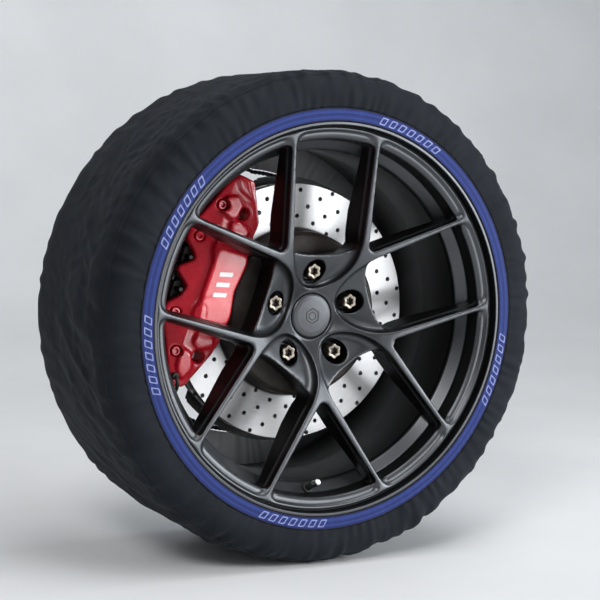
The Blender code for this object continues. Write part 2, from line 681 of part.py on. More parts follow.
def make_caliper_fittings(frame, finishes):
    number = 0
    for side in (1, -1):
        for x, y in PISTON_SPOTS:
            number += 1
            bottom, top = PISTON
            profile = [(0, 46), (15, 46), (15, bottom), (20, bottom), (20, top - 1), (19, top), (0, top)]
            heights = [(radius, DISC_MIDDLE + side * height) for radius, height in profile]
            piston = turned(f"piston_{number}", heights, frame, finishes["bright"], 20)
            piston.location = Vector((x, y, 0)) * MM
    front = DISC_MIDDLE + CALIPER_FRONT
    for number, (x, y) in enumerate(BRIDGE_BOLTS, start=1):
        profile = [(0, front + 8), (7.4, front + 8), (8.4, front + 7), (8.4, front + GAP), (5, front + GAP),
                   (5, -46), (0, -46)]
        bolt = turned(f"bridge_bolt_{number}", profile, frame, finishes["zinc"], 6)
        bolt.location = Vector((x, y, 0)) * MM
    for number, (x, y) in enumerate(EAR_SPOTS, start=1):
        profile = [(0, -97), (9, -97), (10, -96), (10, -88 - GAP), (6, -88 - GAP), (6, -30), (0, -30)]
        bolt = turned(f"mounting_bolt_{number}", profile, frame, finishes["zinc"], PIN_STEPS)
        bolt.location = Vector((x, y, 0)) * MM
    for number, spot in enumerate(PIN_SPOTS, start=1):
        peg(f"pad_pin_{number}", spot, 3, *span(1, -56, 56), frame, finishes["bright"])
    block("pad_spring", (187.4, -34, DISC_MIDDLE - 22), (188.6, 34, DISC_MIDDLE + 22), frame,
          finishes["bright"])
    for label, side in (("outer", 1), ("inner", -1)):
        base = CALIPER_FRONT + GAP
        profile = [(0, base + 12), (2.4, base + 12), (3.2, base + 10), (3, base + 6), (5.5, base + 5),
                   (5.5, base), (0, base)]
        heights = [(radius, DISC_MIDDLE + side * height) for radius, height in profile]
        screw = turned(f"bleed_screw_{label}", heights, frame, finishes["zinc"], PIN_STEPS)
        screw.location = Vector((*BLEED_SPOTS[side], 0)) * MM
    low = DISC_MIDDLE - CALIPER_FRONT - 0.5
    high = DISC_MIDDLE + CALIPER_FRONT + 0.5
    route = [(159, 131, high), (159, 131, high + 5), (157.5, 135, high + 9), (154.5, 142, high + 8.5),
             (151.5, 148, high + 3), (150.5, 150, high - 6), (150.5, 150, low + 6), (151.5, 148, low - 3),
             (154.5, 142, low - 8.5), (157.5, 135, low - 9), (159, 131, low - 5), (159, 131, low)]
    tube("crossover_pipe", route, 2.4, frame, finishes["bright"])


# ---------------------------------------------------------------- assembly

clear_scene()
WHEEL = empty("wheel_centre", turn=(math.pi / 2, 0, 0))
CALIPER = empty("caliper_place", WHEEL, turn=(0, 0, math.radians(CALIPER_ANGLE)))
VALVE = empty("valve_place", WHEEL, (*polar(VALVE_PLACE[0], VALVE_ANGLE), VALVE_PLACE[1]),
              (0, math.radians(-VALVE_LEAN), math.radians(VALVE_ANGLE)))

FINISHES = {
    "fabric": material("sock_fabric", (0.020, 0.024, 0.030), 0.85),
    "band": material("sock_band", (0.045, 0.075, 0.42), 0.6),
    "elastic": material("hem_elastic", (0.03, 0.03, 0.035), 0.7),
    "rubber": material("tyre_rubber", (0.02, 0.02, 0.02), 0.75),
    "alloy": material("satin_black_alloy", (0.028, 0.027, 0.028), 0.38, 0.6),
    "cap": material("cap_plastic", (0.03, 0.03, 0.032), 0.35),
    "black": material("black_nut", (0.015, 0.015, 0.016), 0.3, 0.8),
    "steel": material("hub_steel", (0.28, 0.27, 0.26), 0.45, 1.0),
    "bright": material("ground_steel", (0.62, 0.62, 0.63), 0.25, 1.0),
    "zinc": material("zinc_plate", (0.5, 0.5, 0.5), 0.4, 1.0),
    "brass": material("brass", (0.6, 0.45, 0.2), 0.35, 1.0),
    "disc": material("brake_iron", (0.55, 0.55, 0.56), 0.3, 1.0),
    "cast": material("cast_iron", (0.12, 0.115, 0.11), 0.7, 0.7),
    "caliper": material("red_caliper_paint", (0.62, 0.015, 0.03), 0.25),
    "lining": material("friction_lining", (0.10, 0.09, 0.08), 0.9),
    "plastic": material("sensor_plastic", (0.02, 0.02, 0.02), 0.5),
}

make_tyre(WHEEL, FINISHES["rubber"])
make_sock(WHEEL, FINISHES)
make_wheel(WHEEL, FINISHES["alloy"])
make_cap(WHEEL, FINISHES["cap"])
make_valve(FINISHES["rubber"], FINISHES["brass"], FINISHES["bright"])
make_fasteners(WHEEL, FINISHES["steel"], FINISHES["black"])
make_hub(WHEEL, FINISHES)
make_bearing(WHEEL, FINISHES)
make_disc(WHEEL, FINISHES)
make_knuckle(WHEEL, CALIPER, FINISHES)
caliper_half("caliper_outer_half", 1, CALIPER, FINISHES["caliper"])
caliper_half("caliper_inner_half", -1, CALIPER, FINISHES["caliper"])
make_pads(CALIPER, FINISHES)
make_caliper_fittings(CALIPER, FINISHES)
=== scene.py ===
"""Looks of a car's front wheel that wears a textile snow sock, with its hub, brake and knuckle.

Shapes are drawn in the wheel's own frame, in millimetres: X to the right, Y up the wheel's face and Z
outboard along the axle. to_row() turns them into the row frame.
"""
import math

import bmesh
import bpy
import numpy as np
from mathutils import Matrix, Vector


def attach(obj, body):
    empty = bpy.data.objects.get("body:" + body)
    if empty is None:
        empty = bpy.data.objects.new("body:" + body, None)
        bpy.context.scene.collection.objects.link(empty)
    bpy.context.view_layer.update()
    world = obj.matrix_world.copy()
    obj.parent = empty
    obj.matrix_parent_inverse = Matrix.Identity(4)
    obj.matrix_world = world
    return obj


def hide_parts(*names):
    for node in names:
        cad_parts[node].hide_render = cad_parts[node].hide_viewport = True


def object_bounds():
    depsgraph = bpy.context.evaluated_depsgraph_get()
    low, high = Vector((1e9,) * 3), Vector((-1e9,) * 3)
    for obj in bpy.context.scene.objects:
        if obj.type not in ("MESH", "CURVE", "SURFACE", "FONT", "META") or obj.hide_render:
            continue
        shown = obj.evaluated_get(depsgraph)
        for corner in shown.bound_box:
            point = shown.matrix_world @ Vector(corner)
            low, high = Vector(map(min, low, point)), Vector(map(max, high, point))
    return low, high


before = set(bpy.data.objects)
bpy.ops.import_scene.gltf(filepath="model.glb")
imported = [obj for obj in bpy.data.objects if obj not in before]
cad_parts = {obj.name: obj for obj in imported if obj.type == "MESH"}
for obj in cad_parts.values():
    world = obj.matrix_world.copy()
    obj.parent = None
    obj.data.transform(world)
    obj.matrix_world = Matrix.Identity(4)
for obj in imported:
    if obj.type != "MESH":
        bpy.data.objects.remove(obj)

CAD_BOX = [list(corner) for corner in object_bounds()]
MM = 0.001

# Wheel
BOLTS = [90 + 72 * turn for turn in range(5)]
STUD_CIRCLE = 60.0
FACE = [(0, 66), (30.2, 66), (34, 67), (57, 83), (86, 100), (112, 108), (140, 111), (260, 122.7)]
FORK_RADIUS = 95.5
FORK_ANGLE = math.radians(33.7)
WINDOW_RADIUS = 248.0
POCKET_DEPTH = 15.0
VALVE_ANGLE = -92.5
WEB_BACK = [(75, 45), (86, 46), (112, 63.5), (150, 67), (238.5, 91)]

# Brake
DISC_MIDDLE = -6.0
DISC_TOP = 10.0
DISC_LOW = -22.0
DISC_RADIUS = 175.0
CALIPER_ANGLE = 162
CALIPER_TURN = Matrix.Rotation(math.radians(CALIPER_ANGLE), 4, "Z")
CALIPER_FRONT = 54.0
PISTONS = [(137, -44), (137, 44)]
BRIDGE_BOLTS = [(181, -52), (181, 52), (166, -100), (166, 100)]
EARS = [(146, -118), (146, 118)]
PAD_PINS = [(183.5, -22), (183.5, 22)]
SHIELD_BOLTS = (30, 150, 270)

# Sock: outside of the tyre, from the band over the tread to the inner hem
SOCK_GUIDE = [(276.8, 128.4), (294, 129.5), (307, 125), (316.5, 113.5), (320.8, 96), (320.8, -96),
              (316.5, -113.5), (307, -125), (294, -129.5), (265, -128.8), (225, -130.5), (190.5, -132.5)]
BAND_INNER = 259.4
BAND_OUTER = 276.3
BAND_TOP = 131.5
HEM_RADIUS = 186.3
SOCK_BASE = 1.5
SOCK_SPACING = 2.9
TYRE_RADIUS = 320
THREAD_PITCH = 1.1


# ---------------------------------------------------------------- materials

def wire(tree, source, target):
    """Link a socket to another node's output, or set it to a constant."""
    if isinstance(source, bpy.types.NodeSocket):
        tree.links.new(source, target)
    else:
        target.default_value = source


def shader_of(name):
    made = bpy.data.materials.new(name)
    made.use_nodes = True
    return made, made.node_tree, made.node_tree.nodes["Principled BSDF"]


def add(tree, kind, **values):
    """Node of a kind, with its properties and its sockets set by name."""
    made = tree.nodes.new("ShaderNode" + kind)
    for key, value in values.items():
        if key in made.inputs:
            made.inputs[key].default_value = value
        else:
            setattr(made, key, value)
    return made


def noise(tree, place, scale, detail=4.0, roughness=0.55):
    made = add(tree, "TexNoise", Scale=scale, Detail=detail, Roughness=roughness)
    wire(tree, place, made.inputs["Vector"])
    return made.outputs["Fac"]


def ramp(tree, value, stops):
    """Colours between stops (position, colour)."""
    made = tree.nodes.new("ShaderNodeValToRGB")
    points = made.color_ramp.elements
    while len(points) < len(stops):
        points.new(1.0)
    for point, (position, colour) in zip(points, stops):
        point.position = position
        point.color = (*colour, 1.0)
    wire(tree, value, made.inputs["Fac"])
    return made.outputs["Color"]


def spread(tree, value, low, high, start=0.3, end=0.7):
    made = add(tree, "MapRange", **{"From Min": start, "From Max": end, "To Min": low, "To Max": high})
    wire(tree, value, made.inputs["Value"])
    return made.outputs["Result"]


def sums(tree, operation, *values):
    made = add(tree, "Math", operation=operation)
    for socket, value in zip(made.inputs, values):
        wire(tree, value, socket)
    return made.outputs[0]


def mixed(tree, first, second, share=1.0, blend="MULTIPLY"):
    made = add(tree, "Mix", data_type="RGBA", blend_type=blend)
    for index, value in ((0, share), (6, first), (7, second)):
        wire(tree, value, made.inputs[index])
    return made.outputs[2]


def object_place(tree):
    return add(tree, "TexCoord").outputs["Object"]


def split(tree, vector):
    made = add(tree, "SeparateXYZ")
    wire(tree, vector, made.inputs[0])
    return made.outputs


def flat_vector(tree, x, y):
    made = add(tree, "CombineXYZ")
    wire(tree, x, made.inputs["X"])
    wire(tree, y, made.inputs["Y"])
    return made.outputs[0]


def bump(tree, shader, heights, before=None):
    """Chain of bumps, each (height, strength, distance in millimetres)."""
    last = before
    for height, strength, distance in heights:
        made = add(tree, "Bump", Strength=strength, Distance=distance * MM)
        wire(tree, height, made.inputs["Height"])
        if last is not None:
            wire(tree, last, made.inputs["Normal"])
        last = made.outputs["Normal"]
    wire(tree, last, shader.inputs["Normal"])


def constants(shader, values):
    for key, value in values.items():
        shader.inputs[key].default_value = value


def grained(name, colour, other, rough, metallic=0.0, patches=18, grain=900, depth=0.25, strength=0.3,
            **extra):
    """Material whose colour and roughness drift in soft patches, over a fine grain."""
    made, tree, shader = shader_of(name)
    place = object_place(tree)
    drift = noise(tree, place, patches)
    wire(tree, ramp(tree, drift, [(0.35, colour), (0.68, other)]), shader.inputs["Base Color"])
    wire(tree, spread(tree, noise(tree, place, patches * 3), *rough), shader.inputs["Roughness"])
    shader.inputs["Metallic"].default_value = metallic
    bump(tree, shader, [(noise(tree, place, grain), strength, depth)])
    constants(shader, extra)
    return made


def with_painted_shade(made, deep=None):
    """Painted shade: darken the colour of the faces that run along the axle, as shade falls on a recess's
    sides, and of what lies deep, in metres.
    """
    tree, shader = made.node_tree, made.node_tree.nodes["Principled BSDF"]
    colour = shader.inputs["Base Color"].links[0].from_socket
    facing = split(tree, add(tree, "NewGeometry").outputs["Normal"])["Y"]
    # Painted shade: the colour falls to 0.22 of itself on faces along the axle
    painted_light_level = spread(tree, sums(tree, "ABSOLUTE", facing), 0.22, 1.0, 0.15, 0.6)
    if deep is not None:
        down = split(tree, object_place(tree))["Y"]
        painted_light_level = sums(tree, "MULTIPLY", painted_light_level, spread(tree, down, 1.0, 0.16, *deep))
    wire(tree, mixed(tree, colour, painted_light_level), shader.inputs["Base Color"])
    return made


def radius_and_angle(tree):
    """Distance from the axle of the shaded point, in millimetres, and its angle round the axle."""
    parts = split(tree, object_place(tree))
    length = add(tree, "VectorMath", operation="LENGTH")
    wire(tree, flat_vector(tree, parts["X"], parts["Z"]), length.inputs[0])
    return (sums(tree, "MULTIPLY", length.outputs["Value"], 1000.0),
            sums(tree, "ARCTAN2", parts["Z"], parts["X"]))


def woven(name, colour, other, rough, sheen):
    """Plain weave along a piece's own "weave" UV map, in millimetres, with soft stains."""
    made, tree, shader = shader_of(name)
    parts = split(tree, add(tree, "UVMap", uv_map="weave").outputs["UV"])
    across, along = (sums(tree, "SINE", sums(tree, "MULTIPLY", parts[axis], math.pi / THREAD_PITCH))
                     for axis in ("X", "Y"))
    threads = sums(tree, "MULTIPLY", across, along)
    place = object_place(tree)
    drift = noise(tree, place, 9, 5.0)
    wire(tree, ramp(tree, drift, [(0.32, colour), (0.7, other)]), shader.inputs["Base Color"])
    wire(tree, spread(tree, noise(tree, place, 30), *rough), shader.inputs["Roughness"])
    bump(tree, shader, [(noise(tree, place, 55, 3.0), 0.35, 1.2), (threads, 0.35, 0.25)])
    constants(shader, {"Sheen Weight": sheen, "Sheen Roughness": 0.4, "Specular IOR Level": 0.13,
                       "Sheen Tint": (0.62, 0.72, 0.85, 1.0)})
    return made


def striped_band(name):
    """Elastic webbing: stripes that run along it, dark at both edges, over fine ribs."""
    made, tree, shader = shader_of(name)
    radius, angle = radius_and_angle(tree)
    share = spread(tree, radius, 0.0, 1.0, BAND_INNER, BAND_OUTER)
    navy, deep = (0.003, 0.005, 0.032), (0.008, 0.018, 0.11)
    blue, light = (0.013, 0.029, 0.16), (0.022, 0.046, 0.21)
    stops = [(0.0, navy), (0.07, navy), (0.12, blue), (0.30, light), (0.38, blue), (0.56, deep),
             (0.66, light), (0.80, blue), (0.90, deep), (0.95, navy)]
    stripes = ramp(tree, share, stops)
    place = object_place(tree)
    wear = spread(tree, noise(tree, place, 60, 6.0), 0.0, 0.5)
    wire(tree, mixed(tree, stripes, (0.62, 0.66, 0.78, 1.0), wear), shader.inputs["Base Color"])
    ribs = sums(tree, "SINE", sums(tree, "MULTIPLY", radius, math.tau / 1.3))
    knit = sums(tree, "SINE", sums(tree, "MULTIPLY", angle, 1500.0))
    bump(tree, shader, [(ribs, 0.5, 0.3), (knit, 0.25, 0.2), (noise(tree, place, 700), 0.2, 0.2)])
    constants(shader, {"Roughness": 0.66, "Sheen Weight": 0.12, "Sheen Roughness": 0.35,
                       "Specular IOR Level": 0.3})
    return made


def ground_iron_with_painted_reflections(name):
    """Brake iron: circular grinding marks where the pads sweep, with painted reflections in fans round the
    disc, darker skin elsewhere.
    """
    made, tree, shader = shader_of(name)
    radius, angle = radius_and_angle(tree)
    place = object_place(tree)
    marks = noise(tree, flat_vector(tree, radius, sums(tree, "MULTIPLY", angle, 1.2)), 1.1, 6.0, 0.7)
    swept = spread(tree, radius, 0.0, 1.0, 114.5, 117.0)
    # Painted reflections: pale fans with darker streaks between them are painted into the colour, where the
    # turned faces would catch the light
    around = spread(tree, angle, 0.0, 1.0, -math.pi, math.pi)
    stops = []
    for degrees, half, depth in ((-124, 8, 0.22), (-101, 7, 0.5), (-43, 7, 0.25), (7, 6, 0.22), (58, 7, 0.45),
                                 (86, 6, 0.3), (148, 8, 0.4)):
        for offset, painted_light_level in ((-half, 0.60), (-half * 0.25, depth), (half * 0.35, depth), (half, 0.60)):
            stops.append(((degrees + offset + 180) / 360, (painted_light_level, painted_light_level, painted_light_level * 1.01)))
    painted_reflection_rays = ramp(tree, around, stops)
    swept_colour_with_painted_reflections = mixed(tree, painted_reflection_rays, ramp(tree, marks, [(0.25, (0.80, 0.80, 0.80)), (0.7, (1.0, 1.0, 1.0))]))
    skin = ramp(tree, noise(tree, place, 45), [(0.3, (0.020, 0.016, 0.014)), (0.7, (0.050, 0.041, 0.036))])
    wire(tree, mixed(tree, skin, swept_colour_with_painted_reflections, swept, "MIX"), shader.inputs["Base Color"])
    wire(tree, spread(tree, swept, 0.6, 0.42, 0.0, 1.0), shader.inputs["Roughness"])
    wire(tree, spread(tree, swept, 0.35, 0.75, 0.0, 1.0), shader.inputs["Metallic"])
    bump(tree, shader, [(marks, 0.12, 0.15)])
    return made


def satin_black(name):
    return grained(name, (0.078, 0.081, 0.087), (0.094, 0.098, 0.105), (0.34, 0.40), 0.92, 14, 1600, 0.08,
                   0.12)


LOOKS = {
    "sock_fabric": woven("woven_polyester", (0.0070, 0.0088, 0.0120), (0.0125, 0.0150, 0.0200), (0.66, 0.8),
                         0.03),
    "sock_band": striped_band("blue_elastic"),
    "hem_elastic": grained("covered_cord", (0.012, 0.013, 0.016), (0.03, 0.032, 0.038), (0.6, 0.8), 0.0, 60,
                           900, 0.4, 0.6),
    "tyre_rubber": grained("black_rubber", (0.012, 0.012, 0.012), (0.022, 0.022, 0.022), (0.65, 0.85)),
    # The alloy's colour carries painted shade on the faces along the axle.
    "satin_black_alloy": with_painted_shade(satin_black("satin_black_paint_with_painted_shade")),
    "cap_plastic": grained("satin_black_plastic", (0.068, 0.070, 0.075), (0.080, 0.082, 0.088), (0.38, 0.44),
                           0.85, 18, 1800, 0.08, 0.12),
    "valve_rubber": grained("valve_rubber", (0.012, 0.012, 0.012), (0.022, 0.022, 0.023), (0.55, 0.7)),
    "black_nut": grained("burnished_steel", (0.17, 0.145, 0.12), (0.25, 0.22, 0.185), (0.26, 0.36), 0.95, 160,
                         depth=0.08),
    "hub_steel": grained("oiled_steel", (0.16, 0.15, 0.14), (0.26, 0.25, 0.235), (0.4, 0.55), 0.9, 60),
    "bright_steel": grained("ground_steel", (0.50, 0.50, 0.51), (0.66, 0.66, 0.67), (0.22, 0.34), 1.0, 70,
                            depth=0.06),
    "zinc_plate": grained("zinc_plate", (0.33, 0.33, 0.32), (0.50, 0.50, 0.48), (0.36, 0.5), 0.9, 55,
                          depth=0.08),
    "brass": grained("brass", (0.50, 0.35, 0.13), (0.62, 0.46, 0.20), (0.3, 0.4), 1.0, 80, depth=0.05),
    "brake_iron": ground_iron_with_painted_reflections("ground_iron_with_painted_reflections"),
    "cast_iron": grained("raw_casting", (0.045, 0.042, 0.040), (0.085, 0.078, 0.072), (0.6, 0.8), 0.5, 40,
                         420, 0.5, 0.5),
    "red_caliper_paint": grained("gloss_red_enamel", (0.56, 0.008, 0.022), (0.68, 0.014, 0.034), (0.24, 0.32),
                                 0.0, 30, 260, 0.35, 0.12, **{"Coat Weight": 0.6, "Coat Roughness": 0.12}),
    "friction_lining": grained("pressed_lining", (0.05, 0.045, 0.04), (0.13, 0.11, 0.09), (0.8, 0.95), 0.0,
                               420, 1400, 0.3),
    "sensor_plastic": grained("moulded_plastic", (0.015, 0.015, 0.016), (0.028, 0.028, 0.03), (0.45, 0.6)),
}
WHITE_PRINT = grained("white_print", (0.80, 0.79, 0.78), (0.88, 0.87, 0.86), (0.35, 0.45), depth=0.05)
PALE_THREAD = grained("pale_thread", (0.17, 0.20, 0.44), (0.25, 0.28, 0.52), (0.6, 0.75), 0.0, 90, depth=0.2)
DARK_MARK = grained("dark_mark", (0.012, 0.012, 0.013), (0.02, 0.02, 0.021), (0.5, 0.6), depth=0.05)
# Near black: the dust shield's colour, and painted shade where the pad pins and the crossover pipe use it.
DARK_SHIELD_AND_PAINTED_SHADE = grained("dark_shield_and_painted_shade", (0.010, 0.010, 0.010), (0.018, 0.017, 0.016), (0.5, 0.65), depth=0.1)
# Inner side of the sock: the same cloth drawn pale, painted light that stands for light shining through it
# from behind.
INNER_CLOTH_PAINTED_BACKLIGHT = woven("woven_polyester_inner_painted_backlight", (0.38, 0.39, 0.40), (0.50, 0.51, 0.52), (0.7, 0.85), 0.1)
# Barrel paint with painted shade: darker on faces along the axle and deep inside the barrel.
BARREL_PAINT_WITH_PAINTED_SHADE = with_painted_shade(satin_black("barrel_paint_with_painted_shade"), (-0.0805, -0.0765))


# ---------------------------------------------------------------- outlines

def polar(radius, degrees):
    angle = math.radians(degrees)
    return radius * math.cos(angle), radius * math.sin(angle)


def arc(radius, start, end, steps):
    return [polar(radius, start + (end - start) * step / steps) for step in range(steps + 1)]


def ring_outline(radius, steps, middle=(0, 0)):
    return [(middle[0] + x, middle[1] + y) for x, y in arc(radius, 0, 360, steps)[:-1]]


def area(outline):
    pairs = zip(outline, outline[1:] + outline[:1])
    return sum(x0 * y1 - x1 * y0 for (x0, y0), (x1, y1) in pairs) / 2


def softened(outline, radius, steps=3, closed=True):
    """Outline whose corners are rounded, by less where a side is short. A point on the axis stays."""
    made = []
    count = len(outline)
    for index, here in enumerate(outline):
        if not closed and index in (0, count - 1):
            made.append(here)
            continue
        corner = Vector(here)
        back = Vector(outline[index - 1]) - corner
        ahead = Vector(outline[(index + 1) % count]) - corner
        cut = min(radius, 0.45 * back.length, 0.45 * ahead.length)
        if here[0] == 0 or cut < 0.02:
            made.append(here)
            continue
        first, last = corner + back.normalized() * cut, corner + ahead.normalized() * cut
        for step in range(steps + 1):
            share = step / steps
            point = first * (1 - share) ** 2 + corner * 2 * share * (1 - share) + last * share ** 2
            made.append(tuple(point))
    return made


# ---------------------------------------------------------------- pieces

def to_row(points):
    points = np.asarray(points, float)
    return np.stack([points[:, 0], -points[:, 2], points[:, 1]], axis=1) * MM


def placed(points, place):
    if place is None:
        return np.asarray(points, float)
    matrix = np.array(place, float)
    return np.asarray(points, float) @ matrix[:3, :3].T + matrix[:3, 3]


def piece(name, points, faces, body, slot, nodes=(), look=None, cloth_map=None, flat_faces=True):
    """Object of a mesh in the wheel's frame, which rides on a body and stands for CAD nodes."""
    mesh = bpy.data.meshes.new(name)
    mesh.from_pydata(to_row(points).tolist(), [], [list(map(int, face)) for face in faces])
    if cloth_map is not None:
        layer = mesh.uv_layers.new(name="weave")
        corners = np.zeros(len(mesh.loops), np.int32)
        mesh.loops.foreach_get("vertex_index", corners)
        layer.data.foreach_set("uv", cloth_map[corners].astype(np.float32).ravel())
    tidy = bmesh.new()
    tidy.from_mesh(mesh)
    bmesh.ops.remove_doubles(tidy, verts=tidy.verts, dist=0.000002)
    bmesh.ops.dissolve_degenerate(tidy, edges=tidy.edges, dist=0.000001)
    tidy.to_mesh(mesh)
    tidy.free()
    mesh.shade_smooth()
    mesh.materials.append(look or LOOKS[slot])
    made = bpy.data.objects.new(name, mesh)
    bpy.context.scene.collection.objects.link(made)
    if flat_faces:
        mesh.set_sharp_from_angle(angle=math.radians(50))
        even = made.modifiers.new("Even", "WEIGHTED_NORMAL")
        even.keep_sharp = True
    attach(made, body)
    if nodes:
        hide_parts(*([nodes] if isinstance(nodes, str) else nodes))
    return made


def turned(radius, angle, height):
    """Points at a radius and an angle about the axle, and at a height."""
    return np.stack(np.broadcast_arrays(radius * np.cos(angle), radius * np.sin(angle), height), axis=-1)


def grid_faces(rows, columns, wrap_rows=True, wrap_columns=True):
    """Quads of a grid of points, whose normal is the rows' way crossed with the columns' way."""
    r, c = np.meshgrid(np.arange(rows if wrap_rows else rows - 1),
                       np.arange(columns if wrap_columns else columns - 1), indexing="ij")
    r, c = r.ravel(), c.ravel()
    r1, c1 = (r + 1) % rows, (c + 1) % columns
    return np.stack([r * columns + c, r1 * columns + c, r1 * columns + c1, r * columns + c1], axis=1)


def lathe_points(profile, steps, soft, lobes=None):
    profile = softened(list(profile), soft)
    if area(profile) < 0:
        profile = profile[::-1]
    line = np.array(profile)
    angle = (np.arange(steps) * math.tau / steps)[:, None]
    radius, height = line[None, :, 0], line[None, :, 1]
    if lobes:
        radius = radius * lobes(angle, height, radius)
    return turned(radius, angle, height).reshape(-1, 3), grid_faces(steps, len(line))


def lathe(node, profile, body, slot, spot=(0, 0), steps=96, soft=0.5, lobes=None, place=None, look=None,
          name=None):
    """Turn a closed profile of (radius, height) about Z at a spot, with its corners rounded."""
    points, faces = lathe_points(profile, steps, soft, lobes)
    points = placed(points + (*spot, 0), place)
    return piece(name or f"{node}_body", points, faces, body, slot, node, look)


def plate_mesh(outline, low, high, holes=(), bevel=0.5):
    """Points and faces of a flat plate with holes and small chamfers all round."""
    curve = bpy.data.curves.new("plate", "CURVE")
    curve.dimensions = "2D"
    curve.fill_mode = "BOTH"
    curve.extrude = (high - low) / 2 - bevel
    curve.bevel_depth = bevel
    curve.bevel_resolution = 1
    curve.offset = -bevel
    for loop in [outline, *holes]:
        spline = curve.splines.new("POLY")
        spline.points.add(len(loop) - 1)
        spline.use_cyclic_u = True
        for point, (x, y) in zip(spline.points, loop):
            point.co = (x, y, 0, 1)
    thing = bpy.data.objects.new("plate", curve)
    bpy.context.scene.collection.objects.link(thing)
    bpy.context.view_layer.update()
    mesh = bpy.data.meshes.new_from_object(thing.evaluated_get(bpy.context.evaluated_depsgraph_get()))
    shape = bmesh.new()
    shape.from_mesh(mesh)
    bmesh.ops.remove_doubles(shape, verts=shape.verts, dist=0.001)
    bmesh.ops.recalc_face_normals(shape, faces=shape.faces)
    shape.verts.index_update()
    points = np.array([vert.co for vert in shape.verts]) + (0, 0, (low + high) / 2)
    faces = [[vert.index for vert in face.verts] for face in shape.faces]
    shape.free()
    bpy.data.objects.remove(thing)
    bpy.data.curves.remove(curve)
    bpy.data.meshes.remove(mesh)
    return points, faces


def plate(name, outline, low, high, body, slot, nodes=(), holes=(), bevel=0.5, place=None, look=None):
    points, faces = plate_mesh(outline, low, high, holes, bevel)
    return piece(name, placed(points, place), faces, body, slot, nodes, look)


def merged(parts, place=None):
    """One set of points and faces from several, moved to their place."""
    points, faces, start = [], [], 0
    for more_points, more_faces in parts:
        points.append(np.asarray(more_points, float))
        faces += [[start + int(index) for index in face] for face in more_faces]
        start += len(more_points)
    return placed(np.concatenate(points), place), faces


def pipe_mesh(route, radius, sides=14, smooth=8):
    """Tube along a smooth line through the route's points, with flat ends."""
    knots = np.array(route, float)
    ends = np.concatenate([2 * knots[:1] - knots[1:2], knots, 2 * knots[-1:] - knots[-2:-1]])
    line = []
    for a, b, c, d in zip(ends, ends[1:], ends[2:], ends[3:]):
        for step in range(smooth):
            t = step / smooth
            line.append(0.5 * (2 * b + (c - a) * t + (2 * a - 5 * b + 4 * c - d) * t ** 2
                               + (3 * b - a - 3 * c + d) * t ** 3))
    line = np.array(line + [knots[-1]])
    way = np.gradient(line, axis=0)
    way /= np.linalg.norm(way, axis=1)[:, None]
    side = np.cross(way[0], (0.3, 0.5, 0.81))
    rings = []
    for point, ahead in zip(line, way):
        side = side - ahead * (side @ ahead)
        side /= np.linalg.norm(side)
        up = np.cross(ahead, side)
        for step in range(sides):
            turn = math.tau * step / sides
            rings.append(point + radius * (math.cos(turn) * side + math.sin(turn) * up))
    count = len(line)
    faces = grid_faces(count, sides, wrap_rows=False)[:, ::-1].tolist()
    faces += [list(range(sides))[::-1], list(range((count - 1) * sides, count * sides))]
    return np.array(rings), faces


# ---------------------------------------------------------------- solids from distances

def meet(first, second, soft):
    """Where both solids are, with the edge between them rounded."""
    return np.maximum(first, second) + np.maximum(soft - np.abs(first - second), 0) ** 2 / (4 * soft)


def join(first, second, soft):
    return -meet(-first, -second, soft)


def cut(solid, tool, soft):
    return meet(solid, -tool, soft)


def outline_distance(x, y, outline):
    """Signed distance to a closed outline, negative inside."""
    nearest = np.full(x.shape, 1e9, np.float32)
    inside = np.zeros(x.shape, bool)
    for (x0, y0), (x1, y1) in zip(outline, outline[1:] + outline[:1]):
        dx, dy = x1 - x0, y1 - y0
        share = np.clip(((x - x0) * dx + (y - y0) * dy) / (dx * dx + dy * dy), 0, 1)
        nearest = np.minimum(nearest, np.hypot(x - x0 - share * dx, y - y0 - share * dy))
        if y0 != y1:
            crosses = (y0 > y) != (y1 > y)
            inside ^= crosses & (x < x0 + (y - y0) * dx / dy)
    return np.where(inside, -nearest, nearest)


def slab(z, low, high):
    return np.maximum(low - z, z - high)


def rod(x, y, spot, radius):
    return np.hypot(x - spot[0], y - spot[1]) - radius


